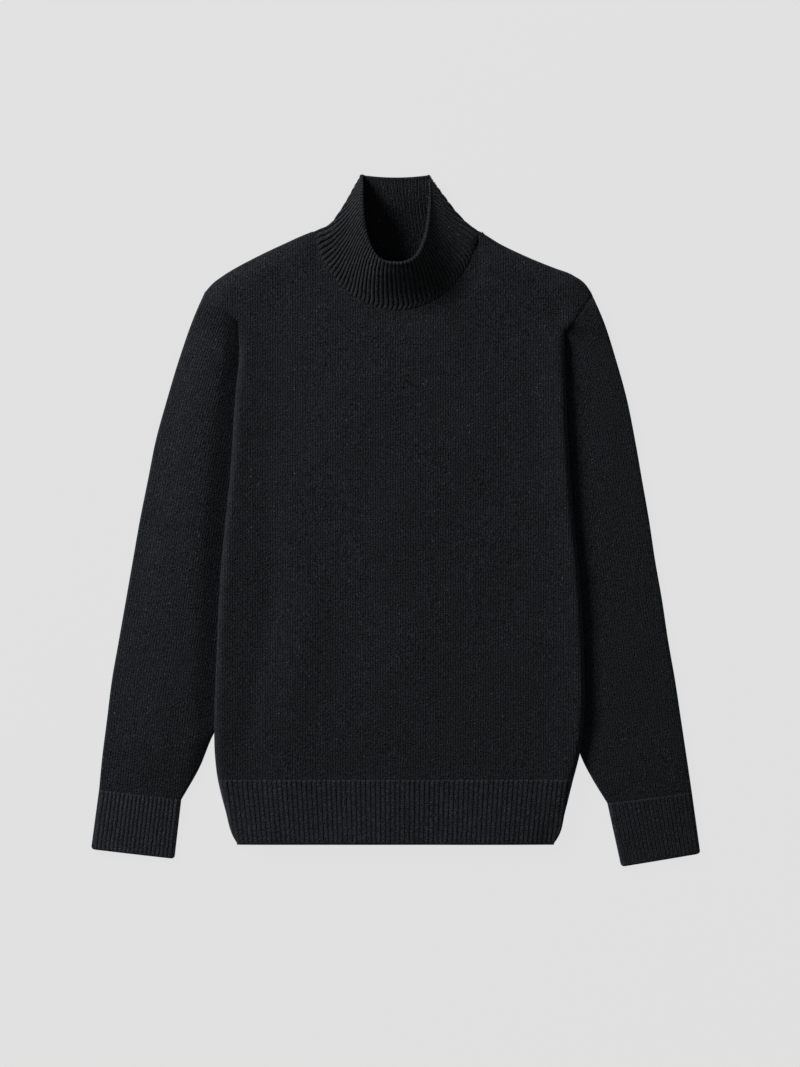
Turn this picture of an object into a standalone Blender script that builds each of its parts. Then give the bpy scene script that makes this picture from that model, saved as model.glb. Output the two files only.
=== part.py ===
"""Turtleneck sweater of lambswool knit, lying flat on its back.

The sleeves are laid down beside the body, and their inner edges are tucked under its sides.
X runs to the right, Y from the hem to the collar, and Z up from the surface it lies on.
All sizes are in millimetres; add_cloth turns them into metres.
"""

import math

import bmesh
import bpy
import numpy as np

MM = 0.001
TOUCH = 1e-6                        # points closer than this are the same

# Cloth
WALL = 2.4                          # thickness of the knitted cloth
SEAM_GAP = 0.3                      # left between two pieces where they are sewn or lie together
AIR = 0.4                           # left between the two walls of a tube that is pressed flat
FLAT_TUBE = 2 * WALL + AIR          # height of such a tube
RIB_RISE = 0.9                      # how far a rib stands out of the wall
EDGE_ROUND = 0.5                    # how far a cut edge drops below the cloth beside it
FOLD_STEP = 0.3                     # a tube's fold has a point this share of its radius in from
FOLD_OPEN = 0.72                    # the edge, where it has opened to this share of its height
SHARP_ANGLE = 50.0                  # degrees; edges bent more than this are not shaded smooth
PLAIN_COLOUR = (0.0105, 0.0115, 0.0125)
RIB_COLOUR = (0.0095, 0.0100, 0.0115)

# Ribs of the 1x1 rib bands
COLLAR_RIBS = 83                    # all round
HEM_RIBS = 72                       # across the front
CUFF_RIBS = 19                      # across the upper side
RIB_FLOOR_TILT = -0.9               # ribs are left out where the cloth faces down this steeply
RIB_FLOOR_FADE = 0.5                # and reach their full height over this much less tilt

# Heights at which the pieces lie
TUCK_RISE = FLAT_TUBE + 2 * SEAM_GAP  # lift of the body where a sleeve lies under it
TUCK_MARGIN = 11.0                  # full lift starts this far before the sleeve's inner edge
TUCK_RAMP = 26.0                    # width of the slope up to it
TUCK_START = 10.0                   # and its length below the foot of the armhole
SIDE_LOFT = 3.4                     # soft roll along the body's side edges
SIDE_LOFT_AT = 8.0                  # its crest, measured from the edge
SIDE_LOFT_WIDTH = 40.0
NECK_LOFT_SIDE = 1.4                # lift of the front at the collar, by the shoulders
NECK_LOFT_FRONT = 5.2               # and at the centre front
NECK_LOFT_WIDTH = 62.0
ROLL_START = 10.0                   # the side roll starts this far above the armhole's foot
ROLL_FADE = 50.0                    # reaches its full height over this length
HEM_FADE = 60.0                     # and fades over this one, half of it above the rib seam
HEM_LEVEL = 20.0                    # the hem keeps the height it has this far below that seam

# Body outline
SHOULDER_TIP = {"left": (-209.6, 249.2), "right": (216.7, 248.1)}
ARMHOLE_FOOT = {"left": (-172.2, 217.3), "right": (182.6, 196.4)}
RIB_SEAM_Y = -285.6                 # the panels end and the hem rib starts
HEM_Y = -355.9
SIDE_PULL = 0.29                    # share of the width over which columns follow the side
BACK_NECK_FLAT = 0.86               # share of the back neck that the collar lies flat along
BACK_NECK_CORNER = ((6.5, 0.0), (3.0, 8.0))  # the rest: out and down from the collar's fold
NECK_SAG = 0.35                     # depth of the neck curve between two columns
FAR_OUT = 400.0                     # beyond the garment

# Points of the panels: shares of the width and height, and counts of columns and rows
EDGE_COLUMNS = (0.0, 0.006, 0.021, 0.048)
SHOULDER_COLUMNS = 5                # under each shoulder
NECK_COLUMNS = 17                   # under the neck edge
ARMHOLE_SHARE = 0.09                # share of the height that lies beside the armhole
TOP_ROWS = (0.0, ARMHOLE_SHARE / 2, ARMHOLE_SHARE, 0.11, 0.14)
PANEL_ROWS = 13                     # between the top and the low ones
LOW_ROWS = (0.955, 0.988, 1.0)
HEM_ROWS = (-320.0, -350.0)         # heights of the points between the ends of the hem rib
HEM_BACK_COLUMNS = 25


def table(names, *rows):
    """A table with named columns, as one array for each name."""
    return dict(zip(names.split(), np.array(rows, dtype=float).T))


SHOULDER = table(
    "y left right",
    (316.4, -90.4, 93.6),
    (311.9, -102.3, 100.9),
    (303.0, -122.1, 115.5),
    (294.3, -140.8, 133.1),
    (285.5, -158.4, 152.9),
    (276.7, -174.9, 174.9),
    (267.9, -189.2, 196.9),
    (258.5, -201.4, 209.5),
)

SIDE = table(
    "y left right",
    (180.0, -171.0, 183.0),
    (150.0, -173.8, 187.0),
    (110.0, -177.0, 189.6),
    (53.0, -180.6, 192.5),
    (-9.0, -187.0, 197.5),
    (-61.0, -191.6, 203.0),
    (-100.0, -193.9, 205.8),
    (-156.0, -196.2, 207.9),
    (-201.0, -198.0, 208.6),
    (-233.0, -198.6, 206.6),
    (-257.0, -197.9, 203.0),
    (-285.6, -194.7, 195.8),
    (-320.0, -187.4, 187.2),
    (-350.0, -178.6, 178.6),
    (-355.9, -173.8, 174.6),
)

# Sleeves, a row for each section from the armhole down: the outer fold, the inner fold, and how
# much the sleeve stands up between them
SLEEVE = {
    "left": table(
        "outer_x outer_y inner_x inner_y crown",
        (-222.2, 219.5, -173.4, 199.0, 1.5),
        (-237.6, 175.5, -163.0, 176.0, 2.6),
        (-250.8, 131.5, -149.0, 130.0, 3.2),
        (-262.9, 87.5, -138.0, 80.0, 3.4),
        (-271.7, 43.5, -131.5, 32.0, 3.5),
        (-280.5, -0.6, -130.5, -14.0, 3.5),
        (-288.2, -44.6, -135.0, -60.0, 3.5),
        (-295.9, -88.6, -145.5, -107.0, 3.5),
        (-303.6, -132.6, -159.0, -154.0, 3.5),
        (-311.3, -176.6, -177.0, -198.0, 3.5),
        (-316.8, -220.6, -200.0, -237.0, 3.5),
        (-322.3, -264.6, -216.5, -276.0, 3.5),
        (-325.4, -297.0, -234.9, -308.0, 2.6),
    ),
    "right": table(
        "outer_x outer_y inner_x inner_y crown",
        (229.8, 217.0, 184.0, 180.0, 1.5),
        (243.1, 175.5, 173.8, 159.0, 2.6),
        (255.2, 131.5, 159.5, 118.0, 3.2),
        (264.0, 87.5, 148.5, 73.0, 3.4),
        (271.7, 43.5, 141.9, 27.0, 3.5),
        (279.4, -0.6, 140.8, -19.0, 3.5),
        (286.0, -44.6, 146.0, -65.0, 3.5),
        (293.7, -88.6, 157.0, -112.0, 3.5),
        (300.3, -132.6, 170.5, -160.0, 3.5),
        (308.0, -176.6, 186.5, -206.0, 3.5),
        (314.6, -220.6, 203.0, -256.9, 3.5),
        (321.2, -264.6, 217.8, -286.6, 3.5),
        (326.4, -299.8, 233.4, -311.9, 2.6),
    ),
}

# Lower ends of the cuffs: outer fold, inner fold
CUFF_END = {
    "left": ((-334.2, -361.2), (-242.4, -371.8)),
    "right": ((334.2, -365.4), (247.1, -380.0)),
}
CUFF_CROWN = 1.6                    # how much a cuff stands up at its middle
CROWN_POINTS = 6                    # across the part of a sleeve that stands up
TUCK_END_Y = -250.0                 # the sleeves come out from under the body above this
SIDE_CLEARANCE = 3.0                # a sleeve is pressed flat from this far outside the body

# Collar, a row for each level from the neck seam to the rim: middle and half width between the
# folds, height up the garment of the folds, of the centre front and of the centre back, fullness
# of the front curve, how high the centre front, the left and the right side of the front and the
# back lie, and the share of a side's height that is left at its fold
COLLAR = table(
    "middle half side_y front_y back_y fullness front_z left_z right_z back_z fold",
    (2.0, 87.5, 316.5, 229.9, 304.5, 1.85, 9.1, 5.3, 5.3, 1.2, 0.50),
    (4.5, 76.5, 322.5, 236.4, 313.0, 1.95, 12.2, 9.0, 7.4, 1.2, 0.45),
    (3.2, 64.5, 336.0, 247.4, 329.0, 2.15, 20.5, 16.5, 9.5, 1.2, 0.35),
    (2.2, 53.5, 351.5, 258.9, 345.0, 2.40, 30.0, 26.0, 11.0, 1.2, 0.30),
    (1.2, 44.2, 366.5, 270.1, 361.0, 2.50, 39.0, 34.5, 12.0, 1.2, 0.25),
    (1.0, 36.4, 378.0, 280.8, 375.3, 2.60, 46.0, 39.0, 12.0, 1.6, 0.20),
)

# Points round one half of a collar level: the front by angle from the centre front, the back by
# share of the half width, ending at the centre back
FRONT_ANGLES = (0, 12, 25, 38, 51, 63, 74, 83)
BACK_SHARES = (0.93, 0.8, 0.6, 0.4, 0.2, 0.0)
BY_FOLD = 0.5                       # more of the height is left at the last front angle


def ease(t):
    """Rises from 0 to 1 with a level start and end, and stays there outside."""
    t = np.clip(t, 0.0, 1.0)
    return t * t * (3.0 - 2.0 * t)


def smooth_at(places, values, place):
    """The value at a place on a smooth curve through the points of two columns."""
    if places[0] > places[-1]:
        places, values = places[::-1], values[::-1]
    slopes = np.gradient(values, places)
    place = float(np.clip(place, places[0], places[-1]))
    i = min(int(np.searchsorted(places, place, side="right")) - 1, len(places) - 2)
    span = places[i + 1] - places[i]
    t = (place - places[i]) / span
    return (
        (2 * t**3 - 3 * t**2 + 1) * values[i]
        + (t**3 - 2 * t**2 + t) * span * slopes[i]
        + (3 * t**2 - 2 * t**3) * values[i + 1]
        + (t**3 - t**2) * span * slopes[i + 1]
    )


def side_x(side, y):
    """Where the body's side edge is at a height."""
    foot_x, foot_y = ARMHOLE_FOOT[side]
    places = np.concatenate(([foot_y], SIDE["y"]))
    return smooth_at(places, np.concatenate(([foot_x], SIDE[side])), y)


def shoulder_y(x):
    """Height of the shoulder line at a place across."""
    side = "left" if x < 0 else "right"
    tip_x, tip_y = SHOULDER_TIP[side]
    across = np.append(np.abs(SHOULDER[side]), abs(tip_x))
    return smooth_at(across, np.append(SHOULDER["y"], tip_y), abs(x))


def collar_ring(level, count):
    """Points all round one level of the collar, equally spaced from the centre front."""
    row = {name: column[level] for name, column in COLLAR.items()}
    depth = row["side_y"] - row["front_y"]
    power = 2.0 / row["fullness"]
    halves = []
    for side_z in (row["right_z"], row["left_z"]):
        half = []
        for degrees in FRONT_ANGLES:
            angle = math.radians(degrees)
            rise = side_z + (row["front_z"] - side_z) * math.cos(angle) - row["back_z"]
            if degrees == FRONT_ANGLES[-1]:
                rise *= BY_FOLD + row["fold"]
            half.append((
                row["half"] * math.sin(angle) ** power,
                row["side_y"] - depth * math.cos(angle) ** power,
                row["back_z"] + rise,
            ))
        fold_z = row["back_z"] + (side_z - row["back_z"]) * row["fold"]
        half.append((row["half"], row["side_y"], fold_z))
        for share in BACK_SHARES:
            half.append((
                row["half"] * share,
                row["back_y"] + (row["side_y"] - row["back_y"]) * share**2,
                row["back_z"],
            ))
        halves.append(np.array(half))
    right, left = halves
    knots = np.vstack((right, left[-2:0:-1] * (-1, 1, 1))) + (row["middle"], 0, 0)
    return even_loop(knots, count)


def even_loop(knots, count):
    """Equally spaced points on a closed smooth curve through the knots."""
    steps = 16
    points = []
    for i in range(len(knots)):
        a, b, c, d = (knots[(i + k) % len(knots)] for k in (-1, 0, 1, 2))
        for t in np.arange(steps) / steps:
            points.append(0.5 * (
                2 * b + (c - a) * t + (2 * a - 5 * b + 4 * c - d) * t**2
                + (3 * b - a - 3 * c + d) * t**3
            ))
    points.append(points[0])
    points = np.array(points)
    run = np.concatenate(([0.0], np.cumsum(np.linalg.norm(np.diff(points, axis=0), axis=1))))
    wanted = np.arange(count) * run[-1] / count
    return np.column_stack([np.interp(wanted, run, points[:, k]) for k in range(3)])


def normals_of(grid):
    """Unit normals of a surface whose rows are closed rings."""
    around = np.roll(grid, -1, axis=1) - np.roll(grid, 1, axis=1)
    along = np.gradient(grid, axis=0)
    normals = np.cross(around, along)
    return normals / np.linalg.norm(normals, axis=2, keepdims=True)


def collar_surface():
    """Middle surface of the collar, its outward normals and how far each rib is raised."""
    count = 2 * COLLAR_RIBS
    middle = np.array([collar_ring(level, count) for level in range(len(COLLAR["half"]))])
    normals = normals_of(middle)
    clear_of_floor = ease((normals[:, :, 2] - RIB_FLOOR_TILT) / RIB_FLOOR_FADE)
    crest = np.arange(count) % 2
    return middle, normals, RIB_RISE * crest * clear_of_floor


def neck_edges():
    """The panels' neck edges in plan, front and back, each from left to right."""
    middle, normals, _ = collar_surface()
    along = np.roll(middle[0], -1, axis=0) - np.roll(middle[0], 1, axis=0)
    away = np.column_stack((along[:, 1], -along[:, 0]))
    away = away / np.linalg.norm(away, axis=1, keepdims=True)
    overhang = np.linalg.norm(normals[0, :, :2], axis=1, keepdims=True) * (WALL / 2 + RIB_RISE)
    edge = middle[0, :, :2] + away * (overhang + SEAM_GAP + NECK_SAG)
    right = int(np.argmax(edge[:, 0]))
    left = int(np.argmin(edge[:, 0]))
    front = np.vstack((edge[left:], edge[:right + 1]))
    across = middle[0, right:left, 0] - COLLAR["middle"][0]
    flat = np.abs(across) < BACK_NECK_FLAT * COLLAR["half"][0]
    back = middle[0, right:left, :2][flat][::-1] - (0, SEAM_GAP)
    corners = {
        sign: [
            (COLLAR["middle"][0] + sign * (COLLAR["half"][0] + out), COLLAR["side_y"][0] - down)
            for out, down in BACK_NECK_CORNER
        ]
        for sign in (-1, 1)
    }
    return front, np.vstack((corners[-1], back, corners[1][::-1]))


NECK_FRONT, NECK_BACK = neck_edges()


def neck_distance(x, y):
    """Distance in plan from the front's neck edge."""
    return float(np.min(np.hypot(NECK_FRONT[:, 0] - x, NECK_FRONT[:, 1] - y)))


def tuck_distance(side, x, y):
    """Distance in plan to the part of a sleeve that lies beside and under the body."""
    rows = SLEEVE[side]
    outside = math.copysign(FAR_OUT, rows["outer_x"][0])
    inner = np.column_stack((rows["inner_x"], rows["inner_y"]))[:-1]
    ends = np.array(((outside, inner[-1, 1]), (outside, inner[0, 1])))
    corners = np.vstack((inner, ends))
    starts, stops = corners, np.roll(corners, -1, axis=0)
    runs = stops - starts
    share = np.sum((np.array((x, y)) - starts) * runs, axis=1) / np.sum(runs * runs, axis=1)
    nearest = starts + np.clip(share, 0, 1)[:, None] * runs
    away = float(np.min(np.hypot(nearest[:, 0] - x, nearest[:, 1] - y)))
    crossed = (starts[:, 1] > y) != (stops[:, 1] > y)
    rise = np.where(runs[:, 1] == 0, 1.0, runs[:, 1])
    beyond = x < starts[:, 0] + (y - starts[:, 1]) / rise * runs[:, 0]
    inside = np.count_nonzero(crossed & beyond) % 2 == 1
    return 0.0 if inside else away


def back_underside(x, y):
    """Height of the back panel's underside: on the floor, or over a tucked sleeve."""
    side = "left" if x < 0 else "right"
    beside = ease(1 - (tuck_distance(side, x, y) - TUCK_MARGIN) / TUCK_RAMP)
    return TUCK_RISE * beside * ease((ARMHOLE_FOOT[side][1] - y) / TUCK_START)


def front_underside(x, y):
    """Height of the front panel's underside, which lies on the back and is loose at its edges."""
    side = "left" if x < 0 else "right"
    near_neck = ease(1 - neck_distance(x, y) / NECK_LOFT_WIDTH)
    across = min(1.0, abs(x - COLLAR["middle"][0]) / COLLAR["half"][0])
    loft = NECK_LOFT_SIDE + (NECK_LOFT_FRONT - NECK_LOFT_SIDE) * math.sqrt(1 - across**2)
    from_edge = abs(side_x(side, y)) - abs(x)
    roll = ease(from_edge / SIDE_LOFT_AT) * ease(1 - (from_edge - SIDE_LOFT_AT) / SIDE_LOFT_WIDTH)
    below_armhole = ease((ARMHOLE_FOOT[side][1] + ROLL_START - y) / ROLL_FADE)
    above_hem = ease((y - RIB_SEAM_Y) / HEM_FADE + 0.5)
    loose = loft * near_neck + SIDE_LOFT * roll * below_armhole * above_hem
    return back_underside(x, y) + WALL + SEAM_GAP + loose


def panel_columns():
    """Shares of the panel's width at which its columns run, closer by the sides and the neck."""
    width = SHOULDER_TIP["right"][0] - SHOULDER_TIP["left"][0]
    runs = np.linalg.norm(np.diff(NECK_FRONT, axis=0), axis=1)
    run = np.concatenate(([0.0], np.cumsum(runs)))
    neck_x = np.interp(np.linspace(0, run[-1], NECK_COLUMNS), run, NECK_FRONT[:, 0])
    neck = (neck_x - SHOULDER_TIP["left"][0]) / width
    edge = np.array(EDGE_COLUMNS)
    left = np.concatenate((edge, np.linspace(edge[-1], neck[0], SHOULDER_COLUMNS + 2)[1:-1]))
    right = 1 - np.linspace(edge[-1], 1 - neck[-1], SHOULDER_COLUMNS + 2)[1:-1]
    return np.concatenate((left, neck, right[::-1], 1 - edge[::-1]))


def panel_rows():
    """Shares of the panel's height at which its rows run, closer by the armhole and the rib."""
    between = np.linspace(TOP_ROWS[-1], LOW_ROWS[0], PANEL_ROWS + 2)[1:-1]
    return np.concatenate((TOP_ROWS, between, LOW_ROWS))


def side_point(side, share):
    """A point on a panel's side edge: down the armhole to its foot, then down the side."""
    tip, foot = np.array(SHOULDER_TIP[side]), np.array(ARMHOLE_FOOT[side])
    if share <= ARMHOLE_SHARE:
        return tip + (foot - tip) * share / ARMHOLE_SHARE
    y = foot[1] + (RIB_SEAM_Y - foot[1]) * (share - ARMHOLE_SHARE) / (1 - ARMHOLE_SHARE)
    return np.array((side_x(side, y), y))


def panel_plan(neck):
    """Plan of a panel: rows of points from its shoulders and neck edge down to the hem rib.

    Each column runs straight down, and is drawn to the side edge the more, the closer it lies.
    """
    columns, rows = panel_columns(), panel_rows()
    ends = {side: (side_point(side, 0.0), side_point(side, 1.0)) for side in SHOULDER_TIP}
    plan = np.zeros((len(rows), len(columns), 2))
    for j, u in enumerate(columns):
        x = ends["left"][0][0] + (ends["right"][0][0] - ends["left"][0][0]) * u
        if neck[0, 0] - TOUCH < x < neck[-1, 0] + TOUCH:
            y = float(np.interp(x, neck[:, 0], neck[:, 1]))
        else:
            y = shoulder_y(x)
        top = np.array((x, y))
        low = ends["left"][1] + (ends["right"][1] - ends["left"][1]) * u
        for i, v in enumerate(rows):
            plan[i, j] = (1 - v) * top + v * low
            for side, share in (("left", u), ("right", 1 - u)):
                straight = (1 - v) * ends[side][0] + v * ends[side][1]
                pull = 1 - ease(share / SIDE_PULL)
                plan[i, j] += pull * (side_point(side, v) - straight)
    return plan


def panel(neck, underside):
    """Lower and upper points of a panel whose underside lies at a given height."""
    plan = panel_plan(neck)
    lower = np.zeros(plan.shape[:2] + (3,))
    for i in range(plan.shape[0]):
        for j in range(plan.shape[1]):
            x, y = plan[i, j]
            lower[i, j] = (x, y, underside(x, y))
    upper = lower + (0, 0, WALL)
    return lower, round_edges(upper)


def round_edges(upper):
    """The same points with the outermost ones dropped a little."""
    inside = np.zeros(upper.shape[:2], dtype=bool)
    inside[1:-1, 1:-1] = True
    return upper - (~inside)[:, :, None] * np.array((0, 0, EDGE_ROUND))


def hem_band(underside, ribs):
    """Lower and upper points of one hem rib band, with ribs on its upper side if it has any."""
    heights = (RIB_SEAM_Y - SEAM_GAP, *HEM_ROWS, HEM_Y)
    count = 2 * ribs + 1 if ribs else HEM_BACK_COLUMNS
    lower = np.zeros((len(heights), count, 3))
    for i, y in enumerate(heights):
        left, right = side_x("left", y), side_x("right", y)
        for j, x in enumerate(np.linspace(left, right, count)):
            lower[i, j] = (x, y, underside(x, max(y, RIB_SEAM_Y - HEM_LEVEL)))
    upper = round_edges(lower + (0, 0, WALL))
    if ribs:
        upper[:, 1::2, 2] += RIB_RISE
    return lower, upper


def tube_ring(outer, inner, middle, height_at):
    """Outer and inner points round one section of a flat tube that lies on the floor.

    The section runs from its outer to its inner fold, with points in between at the distances
    in middle, and height_at gives the tube's height at a distance from the outer fold.
    """
    width = float(np.linalg.norm(inner - outer))
    radius = FLAT_TUBE / 2
    fold = np.array((0.0, FOLD_STEP * radius, radius))
    across = np.concatenate((fold, middle, width - fold[::-1]))
    opening = np.array((0.0, FOLD_OPEN, 1.0))
    opened = np.concatenate((opening, np.ones(len(middle)), opening[::-1]))
    inside = WALL + across * (width - 2 * WALL) / width
    heights = np.array([height_at(step) for step in across])
    unit = (inner - outer) / width
    rings = []
    for steps, half in ((across, heights / 2), (inside, heights / 2 - WALL)):
        plan = outer + steps[:, None] * unit
        up = np.column_stack((plan, heights / 2 + half * opened))
        down = np.column_stack((plan, heights / 2 - half * opened))
        rings.append(np.vstack((up, down[-2:0:-1])))
    return rings


def armhole_end(side):
    """Outer and inner ends of a sleeve's first section, beside the body's armhole edge."""
    tip, foot = np.array(SHOULDER_TIP[side]), np.array(ARMHOLE_FOOT[side])
    run = (foot - tip) / np.linalg.norm(foot - tip)
    away = np.array((abs(run[1]), -abs(run[0])))
    away[0] = math.copysign(away[0], tip[0])
    return tip + away * SEAM_GAP, foot + away * SEAM_GAP


def sleeve(side):
    """Inner and outer points of a sleeve, and the ends of its last section."""
    rows = SLEEVE[side]
    outer = np.column_stack((rows["outer_x"], rows["outer_y"]))
    inner = np.column_stack((rows["inner_x"], rows["inner_y"]))
    top_outer, top_inner = armhole_end(side)
    outer, inner = np.vstack((top_outer, outer)), np.vstack((top_inner, inner))
    crowns = np.concatenate(((0.0,), rows["crown"]))
    inside, outside = [], []
    for start, stop, crown in zip(outer, inner, crowns):
        width = float(np.linalg.norm(stop - start))
        hidden = 0.0
        if stop[1] > TUCK_END_Y:
            edge_x = abs(side_x(side, (start[1] + stop[1]) / 2)) + SIDE_CLEARANCE
            hidden = max(0.0, edge_x - abs(stop[0])) / (abs(start[0]) - abs(stop[0])) * width
        shown = min(width - hidden, width - 2 * FLAT_TUBE)
        middle = np.linspace(FLAT_TUBE / 2, shown, CROWN_POINTS)[1:]
        middle = np.append(middle, (shown + width - FLAT_TUBE / 2) / 2)

        def height_at(step, shown=shown, crown=crown):
            return FLAT_TUBE + crown * math.sin(math.pi * min(step / shown, 1.0))

        ring = tube_ring(start, stop, middle, height_at)
        outside.append(ring[0])
        inside.append(ring[1])
    return np.array(inside), np.array(outside), (outer[-1], inner[-1])


def cuff(side, seam):
    """Inner and outer points of a cuff, which starts where its sleeve ends."""
    seam_ends, low_ends = np.array(seam), np.array(CUFF_END[side])
    down = low_ends.mean(axis=0) - seam_ends.mean(axis=0)
    seam_ends = seam_ends + down / np.linalg.norm(down) * SEAM_GAP
    middle_count = 2 * CUFF_RIBS - 1
    inside, outside = [], []
    for share in (0.0, 0.5, 1.0):
        start, stop = seam_ends + (low_ends - seam_ends) * share
        width = float(np.linalg.norm(stop - start))
        middle = np.linspace(FLAT_TUBE / 2, width - FLAT_TUBE / 2, middle_count + 2)[1:-1]

        def height_at(step, width=width):
            return FLAT_TUBE + CUFF_CROWN * math.sin(math.pi * step / width)

        ring = tube_ring(start, stop, middle, height_at)
        ring[0][3:3 + middle_count:2, 2] += RIB_RISE
        outside.append(ring[0])
        inside.append(ring[1])
    return np.array(inside), np.array(outside)


def collar():
    """Inner and outer points of the collar, whose back lies flat on the floor."""
    middle, normals, rise = collar_surface()
    outside = middle + normals * (WALL / 2 + rise)[:, :, None]
    inside = middle - normals * WALL / 2
    outside[:, :, 2] = np.maximum(outside[:, :, 2], 0.0)
    return inside, outside


def knit(name, colour):
    """A matt woollen finish."""
    material = bpy.data.materials.new(name)
    material.use_nodes = True
    shader = material.node_tree.nodes["Principled BSDF"]
    shader.inputs["Base Color"].default_value = (*colour, 1.0)
    shader.inputs["Roughness"].default_value = 0.95
    shader.inputs["Metallic"].default_value = 0.0
    return material


def add_cloth(collection, name, colour, inside, outside, closed):
    """One piece of cloth between two grids of points, as a tube if its rows are closed.

    All grids are split along the same diagonals, so cloth that lies on other cloth fits it.
    """
    body = bmesh.new()
    rows, columns = inside.shape[:2]
    skins = [
        [[body.verts.new(point * MM) for point in row] for row in grid]
        for grid in (inside, outside)
    ]
    around = columns if closed else columns - 1
    for skin in skins:
        for i in range(rows - 1):
            for j in range(around):
                k = (j + 1) % columns
                body.faces.new((skin[i][j], skin[i][k], skin[i + 1][k]))
                body.faces.new((skin[i][j], skin[i + 1][k], skin[i + 1][j]))
    inner, outer = skins
    for i in (0, rows - 1):
        for j in range(around):
            k = (j + 1) % columns
            body.faces.new((inner[i][j], inner[i][k], outer[i][k], outer[i][j]))
    if not closed:
        for j in (0, columns - 1):
            for i in range(rows - 1):
                body.faces.new((inner[i][j], inner[i + 1][j], outer[i + 1][j], outer[i][j]))
    bmesh.ops.recalc_face_normals(body, faces=body.faces)
    bmesh.ops.triangulate(body, faces=body.faces)
    mesh = bpy.data.meshes.new(name)
    body.to_mesh(mesh)
    body.free()
    mesh.shade_smooth()
    mesh.set_sharp_from_angle(angle=math.radians(SHARP_ANGLE))
    mesh.materials.append(knit(name + "_knit", colour))
    piece = bpy.data.objects.new(name, mesh)
    collection.objects.link(piece)
    return piece


def main():
    for old in list(bpy.data.objects):
        bpy.data.objects.remove(old, do_unlink=True)
    sweater = bpy.data.collections.new("turtleneck_sweater")
    bpy.context.scene.collection.children.link(sweater)

    add_cloth(sweater, "back_panel", PLAIN_COLOUR, *panel(NECK_BACK, back_underside), False)
    add_cloth(sweater, "front_panel", PLAIN_COLOUR, *panel(NECK_FRONT, front_underside), False)
    add_cloth(sweater, "hem_rib_back", RIB_COLOUR, *hem_band(back_underside, 0), False)
    add_cloth(sweater, "hem_rib_front", RIB_COLOUR, *hem_band(front_underside, HEM_RIBS), False)
    for side in ("left", "right"):
        inside, outside, seam = sleeve(side)
        add_cloth(sweater, "sleeve_" + side, PLAIN_COLOUR, inside, outside, True)
        add_cloth(sweater, "cuff_" + side, RIB_COLOUR, *cuff(side, seam), True)
    add_cloth(sweater, "collar", RIB_COLOUR, *collar(), True)


main()
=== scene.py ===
"""Turtleneck sweater of black lambswool, lying flat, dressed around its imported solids.

Lengths in the tables and the shape functions are millimetres; the finished meshes are metres.
X runs to the right, Y from the hem to the collar, Z up from the floor. The front and back
panels, the hem ribs, the sleeves, the cuffs and the collar are thin shells of knitted cloth.
"""

import math

import bpy
import numpy as np
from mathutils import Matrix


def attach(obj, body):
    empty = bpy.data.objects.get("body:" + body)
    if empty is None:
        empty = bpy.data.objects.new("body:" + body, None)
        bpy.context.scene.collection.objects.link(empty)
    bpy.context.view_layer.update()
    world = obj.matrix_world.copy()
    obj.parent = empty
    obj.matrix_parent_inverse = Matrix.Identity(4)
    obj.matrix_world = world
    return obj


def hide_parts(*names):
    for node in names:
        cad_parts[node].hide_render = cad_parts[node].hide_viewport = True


bl_info = {
    "name": "Turtleneck sweater",
    "version": (1, 0, 0),
    "blender": (4, 5, 0),
    "location": "3D View > Sidebar > Sweater",
    "description": "Builds a black lambswool turtleneck sweater that lies flat on a pale floor",
    "category": "Object",
}

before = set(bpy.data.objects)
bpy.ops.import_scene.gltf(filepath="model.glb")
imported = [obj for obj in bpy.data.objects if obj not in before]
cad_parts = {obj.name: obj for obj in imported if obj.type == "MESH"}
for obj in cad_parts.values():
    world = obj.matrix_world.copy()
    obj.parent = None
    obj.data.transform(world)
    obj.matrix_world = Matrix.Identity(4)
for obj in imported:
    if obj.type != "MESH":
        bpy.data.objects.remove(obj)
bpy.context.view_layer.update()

MM = 0.001
TINY = 1e-6

# Cloth
WALL = 2.4                          # thickness of the knitted cloth
SEAM_GAP = 0.3                      # between the front and the back where they lie together
AIR = 0.4                           # between the walls of a sleeve that is pressed flat
FLAT_TUBE = 2 * WALL + AIR
PANEL_EDGE, TUBE_EDGE = 0.04, 0.05  # share of a wall's thickness that is left at its very edge
RIB_RISE = 0.9                      # how far the solid's ribs stand out of its wall
COLLAR_RIBS, HEM_RIBS, CUFF_RIBS = 83, 72, 19
RIB_POINTS = 10                     # points to a rib

# The back panel rises over the parts of the sleeves that are tucked in under it
TUCK_RISE = FLAT_TUBE + 2 * SEAM_GAP
TUCK_MARGIN, TUCK_RAMP = 11.0, 26.0 # it stays up this far beyond a sleeve, and then comes down
TUCK_START = 10.0                   # it goes up over this length below the armhole's foot
LEVEL_Y = -305.6                    # from here down its height no longer changes

# Body outline, with points by X and Y
SHOULDER_TIP = {"left": (-209.6, 249.2), "right": (216.7, 248.1)}
ARMHOLE_FOOT = {"left": (-172.2, 217.3), "right": (187.0, 206.0)}
RIB_SEAM_Y = -285.6
HEM_Y = -355.9
BACK_NECK_FLAT = 0.86               # share of the collar's width that the back's neck edge follows
BACK_NECK_CORNER = ((6.5, 0.0), (3.0, 8.0))  # its last points, out and down from the collar's fold
BACK_NECK_LAP = 0.8                 # the back's neck edge lies this much above the collar's seam
NECK_REACH = 0.3                    # the front ends within the collar's wall, not beside it
FAR_OUT = 400.0                     # further out than any sleeve


def table(names, *rows):
    """A table with named columns, as one array for each name."""
    return dict(zip(names.split(), np.array(rows, dtype=float).T))


SHOULDER = table(
    "y left right",
    (316.4, -90.4, 93.6),
    (311.9, -102.3, 100.9),
    (303.0, -122.1, 115.5),
    (294.3, -140.8, 133.1),
    (285.5, -158.4, 152.9),
    (276.7, -174.9, 174.9),
    (267.9, -189.2, 196.9),
    (258.5, -201.4, 209.5),
)

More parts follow.
